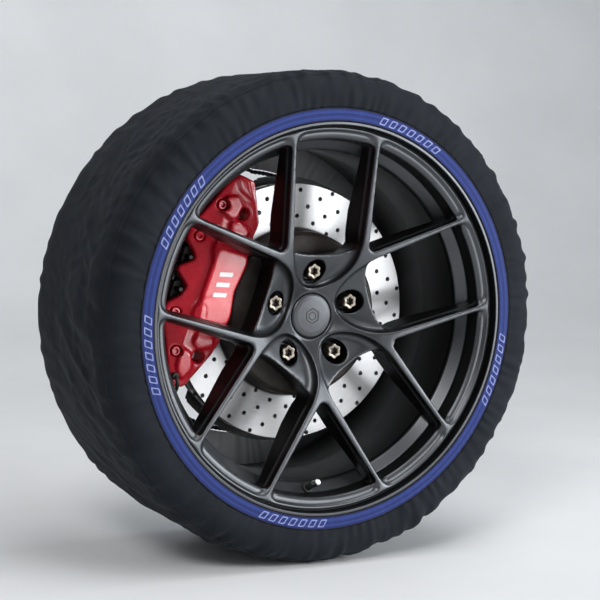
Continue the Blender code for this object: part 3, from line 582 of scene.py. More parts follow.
def surface(values, wrap=False):
    """Vertices, in grid steps, and quads of the surface where a sampled solid ends.

    One vertex stands for each cell that the surface crosses. With wrap the first axis closes on itself, and a
    face that passes its end names the vertex plus the count of vertices, negative for the turn before.
    """
    if wrap:
        values = np.concatenate([values, values[:1]])
    inside = values < 0
    cells = [size - 1 for size in values.shape]
    corners = [(i, j, k) for i in (0, 1) for j in (0, 1) for k in (0, 1)]

    def shifted(array, corner):
        return array[tuple(slice(c, c + n) for c, n in zip(corner, cells))]

    full = sum(shifted(inside, corner).astype(np.int8) for corner in corners)
    active = np.argwhere((full > 0) & (full < 8))
    number = np.full(cells, -1, np.int64)
    number[tuple(active.T)] = np.arange(len(active))
    total = np.zeros((len(active), 3))
    hits = np.zeros(len(active))
    for start in corners:
        for axis in range(3):
            if start[axis]:
                continue
            end = list(start)
            end[axis] = 1
            first = values[tuple((active + start).T)]
            last = values[tuple((active + end).T)]
            crossed = (first < 0) != (last < 0)
            share = first[crossed] / (first[crossed] - last[crossed])
            spot = np.tile(np.array(start, float), (crossed.sum(), 1))
            spot[:, axis] = share
            total[crossed] += spot
            hits[crossed] += 1
    points = active + total / hits[:, None]
    faces = []
    for axis in range(3):
        b, c = (axis + 1) % 3, (axis + 2) % 3
        low = [slice(0, size) for size in inside.shape]
        high = list(low)
        low[axis], high[axis] = slice(0, -1), slice(1, None)
        for other in (b, c):
            keep = slice(0, -1) if wrap and other == 0 else slice(1, -1)
            low[other] = high[other] = keep
        first, last = inside[tuple(low)], inside[tuple(high)]
        found = np.argwhere(first != last)
        goes_out = first[tuple(found.T)]
        found = found + [s.start or 0 for s in low]
        quad = []
        for back_b, back_c in ((1, 1), (0, 1), (0, 0), (1, 0)):
            cell = found.copy()
            cell[:, b] -= back_b
            cell[:, c] -= back_c
            before = cell[:, 0] < 0
            cell[:, 0] %= cells[0]
            quad.append(number[tuple(cell.T)] - before * len(points))
        quad = np.stack(quad, axis=1)
        quad[~goes_out] = quad[~goes_out][:, ::-1]
        faces.append(quad)
    return points, np.concatenate(faces)


def relaxed(points, faces, passes, share=0.5):
    """Points eased towards their neighbours."""
    edges = np.concatenate([faces[:, [i, (i + 1) % 4]] for i in range(4)])
    edges = np.concatenate([edges, edges[:, ::-1]])
    degree = np.bincount(edges[:, 0], minlength=len(points))[:, None]
    for _ in range(passes):
        middle = np.stack([np.bincount(edges[:, 0], points[edges[:, 1], axis], len(points))
                           for axis in range(3)], axis=1)
        points = points + share * (middle / degree - points)
    return points


def solid_mesh(distance, low, high, step, passes=2):
    """Points and faces of a solid given by a distance function of x, y and z."""
    axes = [np.arange(a - step, b + 2 * step, step, dtype=np.float32) for a, b in zip(low, high)]
    x, y, z = np.meshgrid(*axes, indexing="ij")
    points, faces = surface(distance(x, y, z))
    points = points * step + [axis[0] for axis in axes]
    return relaxed(points, faces, passes), faces


# ---------------------------------------------------------------- spoked face

def face_line():
    """Front of the arms: straight runs whose joins are eased."""
    radii = np.arange(0, 261.0)
    heights = np.interp(radii, *zip(*FACE))
    eased = np.convolve(np.pad(heights, 9, mode="edge"), np.ones(19) / 19, mode="valid")
    near = np.clip((radii - 34) / 9, 0, 1)
    return radii, heights + (eased - heights) * near * np.clip((250 - radii) / 9, 0, 1)


def face_height(radius):
    return np.interp(radius, *FACE_LINE).astype(np.float32)


def spoke_half(radius):
    """Half the width of a spoke's front, which tapers towards the rim."""
    return 5.2 - 2.0 * np.clip((radius - 110) / 130, 0, 1)


def fork_window(radius, angle, depth):
    """Distance to the window between the two spokes of an arm; angle counts from the arm."""
    u, v = radius * np.cos(angle) - FORK_RADIUS, radius * np.sin(angle)
    near = u * math.sin(FORK_ANGLE) - v * math.cos(FORK_ANGLE)
    far = u * math.sin(FORK_ANGLE) + v * math.cos(FORK_ANGLE)
    half = spoke_half(radius) + depth
    wedge = meet(half - near, half - far, 15)
    return meet(wedge, radius + depth - WINDOW_RADIUS, 14)


def wide_window(radius, angle, depth, reach, power):
    """Distance to the window between neighbouring arms; angle counts from the bolt between them."""
    u, v = radius * np.cos(angle), np.abs(radius * np.sin(angle))
    lean = math.radians(36) - FORK_ANGLE
    start_u, start_v = polar(FORK_RADIUS, 36)
    side = spoke_half(radius) + depth - ((u - start_u) * math.sin(lean) - (v - start_v) * math.cos(lean))
    join_u = 103.0
    half = start_v - 5.2 / math.cos(lean) + (join_u - start_u) * math.tan(lean)
    a, b = np.maximum(join_u - u, 1e-6) / (join_u - reach), np.maximum(v, 1e-6) / half
    size = (a ** power + b ** power) ** (1 / power)
    slope = np.hypot((a / size) ** (power - 1) / (join_u - reach), (b / size) ** (power - 1) / half)
    end = (size - 1) / slope + depth
    return meet(np.where(u < join_u, end, side), radius + depth - WINDOW_RADIUS, 14)


def barrel_front(radius, height):
    """Distance to the ring of the rim that the spokes grow out of."""
    return np.maximum(slab(radius, 236.2, 254.0), slab(height, 91.5, 116.4 + (radius - 241) * 0.1))


def spokes_distance(angle, height, radius):
    """Distance to the spoked face over one fifth of the wheel, whose arm is at angle 0."""
    across = np.abs(angle)
    depth = np.maximum(face_height(radius) - height, 0)
    ledge = 1.8 * np.clip((depth - 10) / 2.2, 0, 1) * np.clip((radius - 100) / 25, 0, 1)
    drawn = depth * math.tan(math.radians(4.5)) + ledge
    back = np.interp(radius, *zip(*WEB_BACK)).astype(np.float32)
    solid = meet(height - face_height(radius), back - height, 2.4)
    solid = meet(solid, slab(radius, 30.3, 250.6), 1.2)
    solid = cut(solid, fork_window(radius, across, drawn), 2.4)
    from_bolt = math.radians(36) - across
    outer_draw = drawn * np.clip((radius - 70) / 50, 0, 1)
    solid = cut(solid, wide_window(radius, from_bolt, outer_draw, 83, 2.8), 2.4)
    pocket = wide_window(radius, from_bolt, depth * 0.12, 37, 2.0)
    solid = cut(solid, meet(pocket, (face_height(radius) - POCKET_DEPTH - height) * 0.87, 12), 2.6)
    u, v = radius * np.cos(from_bolt), radius * np.sin(from_bolt)
    seat = np.hypot(u - STUD_CIRCLE, v) - 16
    solid = cut(solid, np.maximum(seat, 50 - height), 1.4)
    return join(solid, barrel_front(radius, height) + 1.2, 8)


FACE_LINE = face_line()


def make_spokes():
    turn_steps, step = 180, 1.55
    angles = (np.arange(turn_steps) / turn_steps - 0.5) * math.radians(72)
    heights = np.arange(43, 126, step)
    radii = np.arange(28, 256, step)
    grid = np.meshgrid(angles.astype(np.float32), heights.astype(np.float32), radii.astype(np.float32),
                       indexing="ij")
    points, faces = surface(spokes_distance(*grid), wrap=True)
    count = len(points)
    radius = points[:, 2] * step + radii[0]
    height = points[:, 1] * step + heights[0]
    angle = (points[:, 0] / turn_steps - 0.5) * math.radians(72)
    whole, all_faces = [], []
    for number, arm in enumerate(BOLTS):
        whole.append(turned(radius, angle + math.radians(arm - 36), height))
        all_faces.append((faces + number * count) % (5 * count))
    points, faces = np.concatenate(whole), np.concatenate(all_faces)
    piece("wheel_spokes", relaxed(points, faces, 3), faces, "wheel", "satin_black_alloy", "wheel",
          flat_faces=False)


def make_rim():
    """Barrel with its lips, drop well and the ring behind the spokes."""
    lip = [(258.8, 129.6), (258.6, 131), (255.2, 131.2), (254.6, 130), (253.6, 117.8), (247.5, 117),
           (241, 116.4), (236.4, 112.6), (235.3, 91), (222.5, 80.6), (220.8, 76)]
    inboard = [(220.8, 0), (231, -100), (238, -119), (252, -119.5), (258.8, -125.5), (257, -117.5),
               (252, -114.3), (241.3, -114.3), (241.3, -98), (235, -84)]
    well = [(227.5, 0), (227.5, 71), (241.3, 92), (241.3, 114.3), (252, 114.3), (257, 117.5)]
    lathe("wheel", lip + inboard + well, "wheel", "satin_black_alloy", steps=288, soft=2.0, look=BARREL_PAINT_WITH_PAINTED_SHADE,
          name="wheel_barrel")


# ---------------------------------------------------------------- wheel trim

def make_cap():
    profile = [(0, 69.1), (12, 68.9), (22, 68.2), (27.5, 67.2), (29.6, 65.6), (29.8, 60.3), (27, 60.3),
               (27, 57.4), (25, 57.4), (25, 62), (0, 62)]
    lathe("centre_cap", profile, "wheel", "cap_plastic", steps=120, soft=0.9, name="centre_cap_dome")
    mark = []
    for outer, inner in ((11.0, 9.4), (6.4, 5.0)):
        loop = softened(arc(outer, 30, 330, 5), 1.6)
        hole = softened(arc(inner, 30, 330, 5), 1.2)
        mark.append(plate_mesh(loop, 68.6, 69.35, [hole], 0.12))
    piece("centre_cap_mark", *merged(mark), "wheel", "cap_plastic", look=DARK_MARK)


def nut_lobes(angle, height, radius):
    """Six lobes round the nut's crown, on its outside and in its socket."""
    crown = np.clip((height - 57.5) / 2.0, 0, 1)
    depth = np.where(radius < 6.5, 0.12 * (height > 62), 0.10)
    return 1 - crown * depth * np.cos(6 * angle)


def make_fasteners():
    for number, bolt in enumerate(BOLTS, start=1):
        spot = polar(STUD_CIRCLE, bolt)
        nut = [(7.3, 50.5), (7.3, 57), (6.9, 58), (6.9, 62), (4.4, 62.4), (4.4, 68.4), (5.2, 69.8),
               (8.4, 70.2), (9.4, 69.8), (10, 67.5), (10, 58.5), (10.6, 57), (10.6, 55), (9.2, 50.5)]
        lathe(f"lug_nut_{number}", nut, "wheel", "black_nut", spot, 72, 0.5, nut_lobes)
        stud = [(0, 61.4), (5.4, 61.4), (6.6, 60.2), (6.6, 24), (9.5, 23.6), (9.5, 20), (0, 20)]
        lathe(f"wheel_stud_{number}", stud, "wheel", "hub_steel", spot, 40, 0.5)
        sleeve = [(15.8, 50.2), (15.8, 56), (15.4, 56.6), (14.6, 55.6), (10.9, 50.3)]
        lathe((), sleeve, "wheel", "satin_black_alloy", spot, 64, 0.4, name=f"nut_seat_{number}")


def make_valve():
    turn = Matrix.Rotation(math.radians(VALVE_ANGLE), 4, "Z") @ Matrix.Rotation(math.radians(-25), 4, "Y")
    place = Matrix.Translation((*polar(229, VALVE_ANGLE), 86)) @ turn
    stem = [(1.9, 29), (3.2, 29), (3.2, 20), (4.3, 18), (4.6, 12), (5, 4), (7, 3.4), (7, 2.3), (5.2, 2.3),
            (5.2, -12.6), (6.5, -12.8), (6.5, -15.6), (1.9, -15.6)]
    lathe("valve_stem", stem, "wheel", "valve_rubber", steps=48, place=place)
    cap = [(0, 32), (3.4, 32), (4.2, 31.2), (4.6, 20.6), (3.6, 20.6), (3.6, 29.6), (0, 29.6)]
    lathe("valve_cap", cap, "wheel", "bright_steel", steps=48, place=place,
          lobes=lambda angle, height, radius: 1 + 0.03 * (radius > 3.8) * np.cos(16 * angle))
    pin = [(0, 28.6), (1, 28.6), (1, 14), (1.5, 13.6), (1.5, -11), (0, -11)]
    lathe("valve_core_pin", pin, "valve_pin", "brass", steps=24, soft=0.2, place=place)


# ---------------------------------------------------------------- sock

def drift(angle, count, seed):
    """Smooth random wave round the wheel, about from -1 to 1."""
    random = np.random.default_rng(seed)
    total = np.zeros_like(angle)
    for wave in range(1, count + 1):
        total += random.normal() * np.cos(wave * angle + random.uniform(0, math.tau))
    return total / math.sqrt(count)


def creases(angle, reach, low, high, lean, seed, count=14):
    """Ridges between 0 and 1 that run across the sock, each at its own slight angle."""
    random = np.random.default_rng(seed)
    total = np.zeros(np.broadcast(angle, reach).shape)
    for _ in range(count):
        wave = random.integers(low, high + 1)
        slant = wave / TYRE_RADIUS * (lean + random.normal() * 0.45)
        total += np.cos(wave * angle + slant * reach + random.uniform(0, math.tau))
    total *= math.sqrt(2 / count)
    return np.clip(1 - np.sqrt(total ** 2 + 0.03), -0.6, 1) * 0.6 + 0.36


def pleats(angle, reach, count, seed, lean=0.0, sharp=1.0):
    """Regular gathers between 0 and 1, uneven in pitch and height."""
    phase = count * (angle + lean * reach / TYRE_RADIUS)
    phase = phase + 2.6 * drift(angle, 14, seed) + 1.4 * drift(angle, 47, seed + 1)
    tall = 0.62 + 0.38 * np.tanh(1.2 * drift(angle, 31, seed + 2))
    return tall * (0.5 + 0.5 * np.cos(phase)) ** sharp


def hump(value, start, top, end):
    """0 at start and end, 1 at top, with soft shoulders."""
    rise = np.clip((value - start) / (top - start), 0, 1)
    fall = np.clip((end - value) / (end - top), 0, 1)
    return np.sin(math.pi / 2 * rise) ** 2 * np.sin(math.pi / 2 * fall) ** 2


def sector(angle, middle, half):
    """1 near an angle in degrees, fading to 0 at half the given width from it."""
    away = np.abs((np.degrees(angle) - middle + 180) % 360 - 180)
    return 0.5 + 0.5 * np.cos(math.pi * np.clip(away / half, 0, 1))


def hem_wave(angle):
    """How far the gathered hem is drawn out between its scallops."""
    wave = np.sin(13 * angle + 1.2 * np.sin(3 * angle + 0.6)) + 0.5 * np.sin(29 * angle + 0.4)
    return 3.4 * np.maximum(wave, -0.4) ** 2 * np.sign(np.maximum(wave, 0))


def sock_line():
    """Guide line of the sock resampled at even steps: the reach along it, its points and its normals."""
    line = np.array(softened(SOCK_GUIDE, 9.0, 6, closed=False))
    reach = np.concatenate([[0], np.cumsum(np.linalg.norm(np.diff(line, axis=0), axis=1))])
    even = np.append(np.arange(0, reach[-1], SOCK_SPACING), reach[-1])
    points = np.stack([np.interp(even, reach, line[:, axis]) for axis in (0, 1)], axis=1)
    way = np.gradient(points, axis=0)
    way /= np.linalg.norm(way, axis=1)[:, None]
    return even, points, np.stack([-way[:, 1], way[:, 0]], axis=1)


SOCK_END = float(sock_line()[0][-1])


def sock_height(angle, reach):
    """How far the outside of the cloth stands off the tyre."""
    inner = SOCK_END - 140.0
    lower_right = sector(angle, -45, 95)
    lower_left = sector(angle, -140, 85)
    upper = sector(angle, 75, 150)
    near_band = np.exp(-(reach / 21.0) ** 2)
    gathered = 0.45 + 0.55 * np.maximum(upper, lower_right)
    height = 2.5 * pleats(angle, reach, 118, 3, 0.1) * near_band * gathered
    height += 2.6 * pleats(angle, reach, 61, 5, 0.25, 1.4) * hump(reach, 2, 30, 120)
    strong = 0.45 + 0.75 * lower_right + 0.25 * upper
    height += 3.4 * strong * pleats(angle, reach, 44, 8, 0.3, 1.6) * hump(reach, 10, 50, 190)
    slack = 0.65 + 0.9 * lower_left
    height += 3.0 * creases(angle, reach, 9, 26, 0.55, 11) * hump(reach, 8, 70, SOCK_END - 90) * slack
    height += 2.2 * creases(angle, reach, 24, 60, 0.2, 17) * hump(reach, 4, 60, SOCK_END - 60)
    back = SOCK_END - reach
    height += 4.2 * pleats(angle, reach, 84, 23, 0.05, 1.2) * np.clip(1 - back / 120, 0, 1) ** 0.8
    height += 2.5 * pleats(angle, reach, 52, 29, 0.1, 1.3) * hump(reach, inner - 90, inner, SOCK_END - 10)
    return SOCK_BASE + np.clip(height, 0, 9.5)


def sock_panel(name, node, start, finish, lift, thick, look=None, turns=900):
    """Sewn panel of the sock between two reaches: a closed sheet with a turned-in edge."""
    even, line, normal = sock_line()
    inside = (even >= start - 1e-6) & (even <= finish + 1e-6)
    even, line, normal = even[inside], line[inside], normal[inside]
    angle = (np.arange(turns) * math.tau / turns)[:, None]
    stand = sock_height(angle, even[None, :]) + lift
    tuck = np.clip(np.minimum(even - even[0], even[-1] - even) / 3.0, 0, 1)[None, :]
    stand = stand - (1 - tuck) * 0.5
    sheets = []
    for offset in (0.0, -thick):
        drawn = hem_wave(angle) * np.clip(1 - (SOCK_END - even[None, :]) / 34, 0, 1) ** 1.5
        radius = line[None, :, 0] + normal[None, :, 0] * (stand + offset) + drawn
        height = line[None, :, 1] + normal[None, :, 1] * (stand + offset)
        sheets.append(turned(radius, angle, height))
    ring = np.concatenate([sheets[0], sheets[1][:, ::-1]], axis=1)
    reach = np.append(even, even[::-1])[None, :]
    cloth = np.stack(np.broadcast_arrays(angle * 300, reach), axis=2).reshape(-1, 2)
    faces = grid_faces(turns, ring.shape[1])[:, ::-1]
    made = piece(name, ring.reshape(-1, 3), faces, "wheel", "sock_fabric", node, look, cloth_map=cloth,
                 flat_faces=False)


def reach_at(height_low, height_high):
    """Reach along the sock's guide where it passes between two heights."""
    even, line, _ = sock_line()
    middle = (height_low + height_high) / 2
    return float(even[np.argmin(np.abs(line[:, 1] - middle) + 1e3 * (line[:, 0] < 300))])


def make_sock():
    outer_seam, inner_seam = reach_at(110.3, 113.5), reach_at(-113.5, -110.3)
    lap = 1.5
    sock_panel("sock_outer_side_cloth", "sock_outer_side", 0, outer_seam + lap, 0.0, 0.8)
    sock_panel("sock_tread_cloth", "sock_tread_band", outer_seam - lap, inner_seam + lap, 0.35, 0.9,
               turns=576)
    sock_panel("sock_inner_side_cloth", "sock_inner_side", inner_seam - lap, SOCK_END, 0.0, 0.8,
               INNER_CLOTH_PAINTED_BACKLIGHT, 640)


def make_band():
    """Elastic webbing round the rim's lip, with its woven marks, and the hem's cord at the back."""
    turns = 720
    across = np.linspace(0, 1, 27)
    angle = (np.arange(turns) * math.tau / turns)[:, None]
    crown = 1.2 * np.sin(math.pi * across) ** 0.6
    ribs = 0.16 * np.cos(across * math.tau * 9) * (across > 0.06) * (across < 0.94)
    rolled = 0.5 * (np.exp(-((across - 0.03) / 0.03) ** 2) + np.exp(-((across - 0.97) / 0.03) ** 2))
    pucker = 0.35 * pleats(angle, 0.0, 150, 41)
    top = BAND_TOP - 0.9 * across + crown + ribs + rolled
    radius = BAND_INNER + (BAND_OUTER - BAND_INNER) * across
    sheets = [turned(radius, angle, top + pucker - drop) for drop in (0.0, 1.3)]
    ring = np.concatenate([sheets[0][:, ::-1], sheets[1]], axis=1)
    faces = grid_faces(turns, ring.shape[1])
    band = piece("sock_band_webbing", ring.reshape(-1, 3), faces, "wheel", "sock_band", "sock_outer_band",
                 flat_faces=False)
    marks = make_marks()
    steps = 24
    cord = [(HEM_RADIUS + x, -133.2 + y) for x, y in arc(2.8, 0, 360, steps)[:-1]]
    lathe("sock_inner_elastic", cord, "wheel", "hem_elastic", steps=360, soft=0.05, name="hem_cord",
          lobes=lambda angle, height, radius: 1 + (0.4 * np.cos(180 * angle) * np.sign(radius - HEM_RADIUS)
                                                   + hem_wave(angle)) / HEM_RADIUS)


def make_marks():
    """Five groups of hollow slanted bars woven into the band."""
    made = []
    for number, middle in enumerate((148, 67, -16, -102, -172), start=1):
        parts = []
        for index in range(7):
            left = (index - 3) * 15.0
            corners = [(left - 7.2, -5.2), (left + 2.2, -5.2), (left + 7.2, 5.2), (left - 2.2, 5.2)]
            inset = [(left + (x - left) * 0.66, y * 0.70) for x, y in corners]
            points, faces = plate_mesh(softened(corners, 1.6, 3), 0, 0.5, [softened(inset, 1.0, 3)], 0.1)
            turn = math.radians(middle) - points[:, 0] / 268.0
            radius = 267.8 + points[:, 1]
            share = (radius - BAND_INNER) / (BAND_OUTER - BAND_INNER)
            base = BAND_TOP - 0.05 - 0.9 * share + 1.2 * np.sin(math.pi * share) ** 0.6
            points = turned(radius, turn, base + points[:, 2] + 0.15)
            parts.append((points, [face[::-1] for face in faces]))
        made.append(piece(f"band_mark_{number}", *merged(parts), "wheel", "sock_band", look=PALE_THREAD))
    return made


# ---------------------------------------------------------------- disc and hub

def drilled(rows=24):
    """Centres of the drilled holes: slanted rows of five and four by turns."""
    spots = []
    for row in range(rows):
        for radius in ((117.5, 131, 145, 159, 171.5) if row % 2 == 0 else (124, 138.5, 152.6, 166.7)):
            turn = 81.7 + 0.45 * (145.3 - radius) + 15 * row
            spots.append(polar(radius, turn))
    return spots


def make_disc():
    holes = [ring_outline(2.9, 14, spot) for spot in drilled()]
    rim = ring_outline(DISC_RADIUS, 180)
    bore = ring_outline(111.5, 120)
    parts = [plate_mesh(rim, DISC_TOP - 9.2, DISC_TOP, [bore, *holes], 0.35),
             plate_mesh(rim, DISC_LOW, DISC_LOW + 9.2, [ring_outline(107, 120), *holes], 0.35)]
    for number in range(36):
        lean = [(112, -1.6), (140, 1.5), (172, 7.5), (172, 12), (140, 6), (112, 3.2)]
        turn = 10 * number
        vane = [polar(radius, turn + offset * 0.35) for radius, offset in lean]
        parts.append(plate_mesh(vane, DISC_LOW + 9, DISC_TOP - 9, (), 0.3))
    piece("brake_disc_rings", *merged(parts), "wheel", "brake_iron", "brake_disc")
    bolt_holes = [ring_outline(7.8, 28, polar(STUD_CIRCLE, bolt)) for bolt in BOLTS]
    screw_holes = [ring_outline(6.4, 24, polar(STUD_CIRCLE, arm)) for arm in (54, 198)]
    top = plate_mesh(ring_outline(104, 120), 36.7, 44.7, [ring_outline(32.6, 60), *bolt_holes, *screw_holes],
                     0.4)
    wall = lathe_points([(103.2, 36.7), (103.2, 44.6), (106, 44.6), (111, 40.5), (113.2, 11.5), (112.8, 1),
                         (105.5, -2), (105.5, 34), (104.5, 36.7)], 160, 1.2)
    piece("brake_disc_hat", *merged([top, wall]), "wheel", "brake_iron", "brake_disc")
    for number, arm in enumerate((54, 198), start=1):
        screw = [(0, 42.2), (2.6, 42.2), (3.2, 44.4), (5.6, 44.4), (6, 43.8), (5.2, 41.2), (3.3, 40.6),
                 (3.3, 28), (0, 28)]
        lathe(f"disc_screw_{number}", screw, "wheel", "zinc_plate", polar(STUD_CIRCLE, arm), 36, 0.3)


def make_hub():
    hub = [(24.5, 56), (30.5, 56), (31.9, 54), (31.9, 36.4), (71, 36.4), (72, 35.4), (72, 25), (71, 24),
           (42, 24), (30, 19), (30, 16.4), (24.5, 16.4), (24.5, -30), (13.2, -30), (13.2, 36.2), (24.5, 36.2)]
    lathe("hub", hub, "wheel", "hub_steel", steps=120, soft=1.2)
    stub = [(0, 57), (9, 57), (10.2, 56), (10.2, 35.8), (12.8, 35.4), (12.8, -30.4), (28, -30.4), (28, -40),
            (43, -52), (45, -56), (45, -94), (42, -97), (20, -97), (18, -90), (16, -97), (0, -97)]
    lathe("axle_stub", stub, "wheel", "hub_steel", soft=1.6)
    nut = [(11, 52), (17.5, 52), (20.4, 50), (20.6, 40.5), (23.2, 39.4), (23.4, 36.5), (11, 36.5)]
    lathe("axle_nut", nut, "wheel", "zinc_plate", steps=72, soft=0.4, lobes=lambda angle, height, radius:
          1 - 0.045 * (height > 40) * (radius > 15) * np.abs(np.sin(3 * angle)) ** 3)
    for label, body, low, high in (("outer", "knuckle", 39.5, 44), ("inner", "wheel", 24.8, 30.2)):
        race = [(low, 16), (high, 16), (high, -30), (low, -30)]
        lathe(f"bearing_{label}_race", race, body, "bright_steel", soft=0.8, name=f"bearing_{label}_ring")
    ring = [(33.2, -1.5), (35.8, -1.5), (35.8, -12.5), (33.2, -12.5)]
    parts = [lathe_points(ring, 96, 0.5)]
    ball = [(0, -4), *[(4 * math.cos(t), 4 * math.sin(t)) for t in np.linspace(-1.2, 1.2, 9)], (0, 4)]
    for number in range(9):
        points, faces = lathe_points(ball, 20, 0.01)
        x, y = polar(34.5, 40 * (number + 0.37))
        parts.append((points + (x, y, -7), faces))
    piece("bearing_cage_body", *merged(parts), "bearing_cage", "brass", "bearing_cage")


# ---------------------------------------------------------------- knuckle and shield

def knuckle_distance(x, y, z):
    radius = np.hypot(x, y)
    housing = meet(radius - 60, slab(z, -40, 15), 4)
    housing = join(housing, meet(radius - 66, slab(z, -87, -30), 4), 6)
    housing = join(housing, meet(radius - 83.6, slab(z, -38, -30), 2), 5)
    turn = math.radians(CALIPER_ANGLE)
    a, t = x * math.cos(turn) + y * math.sin(turn), y * math.cos(turn) - x * math.sin(turn)
    corners = [(50, -34), (124, -132), (152, -132), (164, -112), (148, -98), (118, -92), (92, -30), (92, 30),
               (118, 92), (148, 98), (164, 112), (152, 132), (124, 132), (50, 34)]
    arms = meet(outline_distance(a, t, softened(corners, 14)), slab(z, -88, -75), 3)
    solid = join(housing, arms, 12)
    strut = meet(meet(np.abs(x) - 13, slab(y, 40, 172), 5), slab(z, -116, -62), 5)
    boss = meet(meet(np.abs(x) - 17, slab(y, -122, -40), 5), slab(z, -104, -66), 5)
    steering = meet(meet(slab(x, 40, 132), np.abs(y) - 13, 5), slab(z, -100, -76), 5)
    for arm in (strut, boss, steering):
        solid = join(solid, arm, 12)
    rib = np.maximum(np.maximum(np.abs(y - 0.62 * (x + 92)) - 5, slab(x, -140, -50)), slab(z, -88, -62))
    solid = join(solid, rib, 6)
    bore = np.where(z > -30.5, radius - 44.4, radius - np.interp(z, [-88, -40, -36, -30], [52, 50, 41, 41]))
    solid = cut(solid, bore, 1.5)
    for a0, t0 in EARS:
        solid = cut(solid, np.hypot(a - a0, t - t0) - 6.4, 1.2)
    return solid


def make_knuckle():
    points, faces = solid_mesh(knuckle_distance, (-160, -138, -118), (134, 174, 17), 2.2)
    piece("knuckle_casting", points, faces, "knuckle", "cast_iron", "knuckle", flat_faces=False)
    outline = [polar(182.5, angle) for angle in np.linspace(-139.5, 103.5, 90)]
    holes = [ring_outline(64, 72)] + [ring_outline(3.4, 20, polar(70, angle)) for angle in SHIELD_BOLTS]
    shield = [plate_mesh(outline, -29.6, -28.3, holes, 0.25)]
    raised = [[(radius - 2.4, -28.5), (radius + 2.4, -28.5), (radius + 1.2, -27.4), (radius - 1.2, -27.4)]
              for radius in (92, 118, 143, 166)]
    toward = np.array(polar(1, CALIPER_ANGLE))
    for profile in [[(182.6, -29.6), (184, -29.6), (184, -26.6), (182.8, -26.6)]] + raised:
        points, faces = lathe_points(profile, 180, 0.2)
        inside = points[:, :2] @ toward < 93
        shield.append((points, [face for face in faces if all(inside[index] for index in face)]))
    piece("dust_shield_sheet", *merged(shield), "knuckle", "zinc_plate", "dust_shield", look=DARK_SHIELD_AND_PAINTED_SHADE)
    for number, angle in enumerate(SHIELD_BOLTS, start=1):
        hex_bolt(f"shield_bolt_{number}", polar(70, angle), -24.4, -28.0, 3.0, -37, 5.4, "zinc_plate")
    sensor = [(0, -31), (4.6, -31), (5, -31.6), (5, -38.4), (8, -38.4), (8, -46), (7.4, -46.4), (7.4, -48),
              (8, -48.4), (8, -54), (5, -56), (0, -56)]
    lathe("speed_sensor", sensor, "knuckle", "sensor_plastic", polar(75.5, 210), 48, 0.6)


def hex_bolt(node, spot, top, under, shank, end, half, slot, look=None, place=None):
    """Hexagon bolt with a washer face, a flat head with small rounded edges and its shank; the head may face
    either way.
    """
    way = 1 if top > under else -1
    head = arc(half * 1.12, 0, 300, 5)
    low, high = sorted((under + way * 0.6, top))
    parts = [plate_mesh(head, low, high, (), 0.35)]
    washer = [(0, under), (half * 1.25, under), (half * 1.25, under + way * 0.7), (0, under + way * 0.7)]
    body = [(0, under + way * 0.3), (shank, under + way * 0.3), (shank, end + way), (shank - 0.8, end),
            (0, end)]
    parts += [lathe_points(washer, 40, 0.2), lathe_points(body, 32, 0.2)]
    points, faces = merged(parts)
    piece(f"{node}_body", placed(points + (*spot, 0), place), faces, "knuckle", slot, node, look)


# ---------------------------------------------------------------- caliper

def caliper_outline(side):
    """Outline of a half: two piston lobes on the inside, bolt lobes and a middle lug on the outside."""
    inner = [(157, 146), (140, 142), (115, 90), (109, 70), (106.5, 56), (107, 30), (113, 14), (113, -14),
             (107, -30), (106.5, -56), (109, -70), (115, -90), (140, -142), (157, -146)]
    outer = [(168, -128), (184, -88), (196, -62), (196, -44), (182, -30), (181, -20), (194, -9), (194, 2),
             (181, 16), (182, 30), (196, 44), (196, 62), (184, 88), (168, 128)]
    if side > 0:
        inner[11:13] = [(106, -93), (131, -144)]
        outer[4:9] = [(183, -32), (177, -22), (195, -7), (195, -1), (177, 15)]
    return softened(inner + outer, 5 if side > 0 else 8)


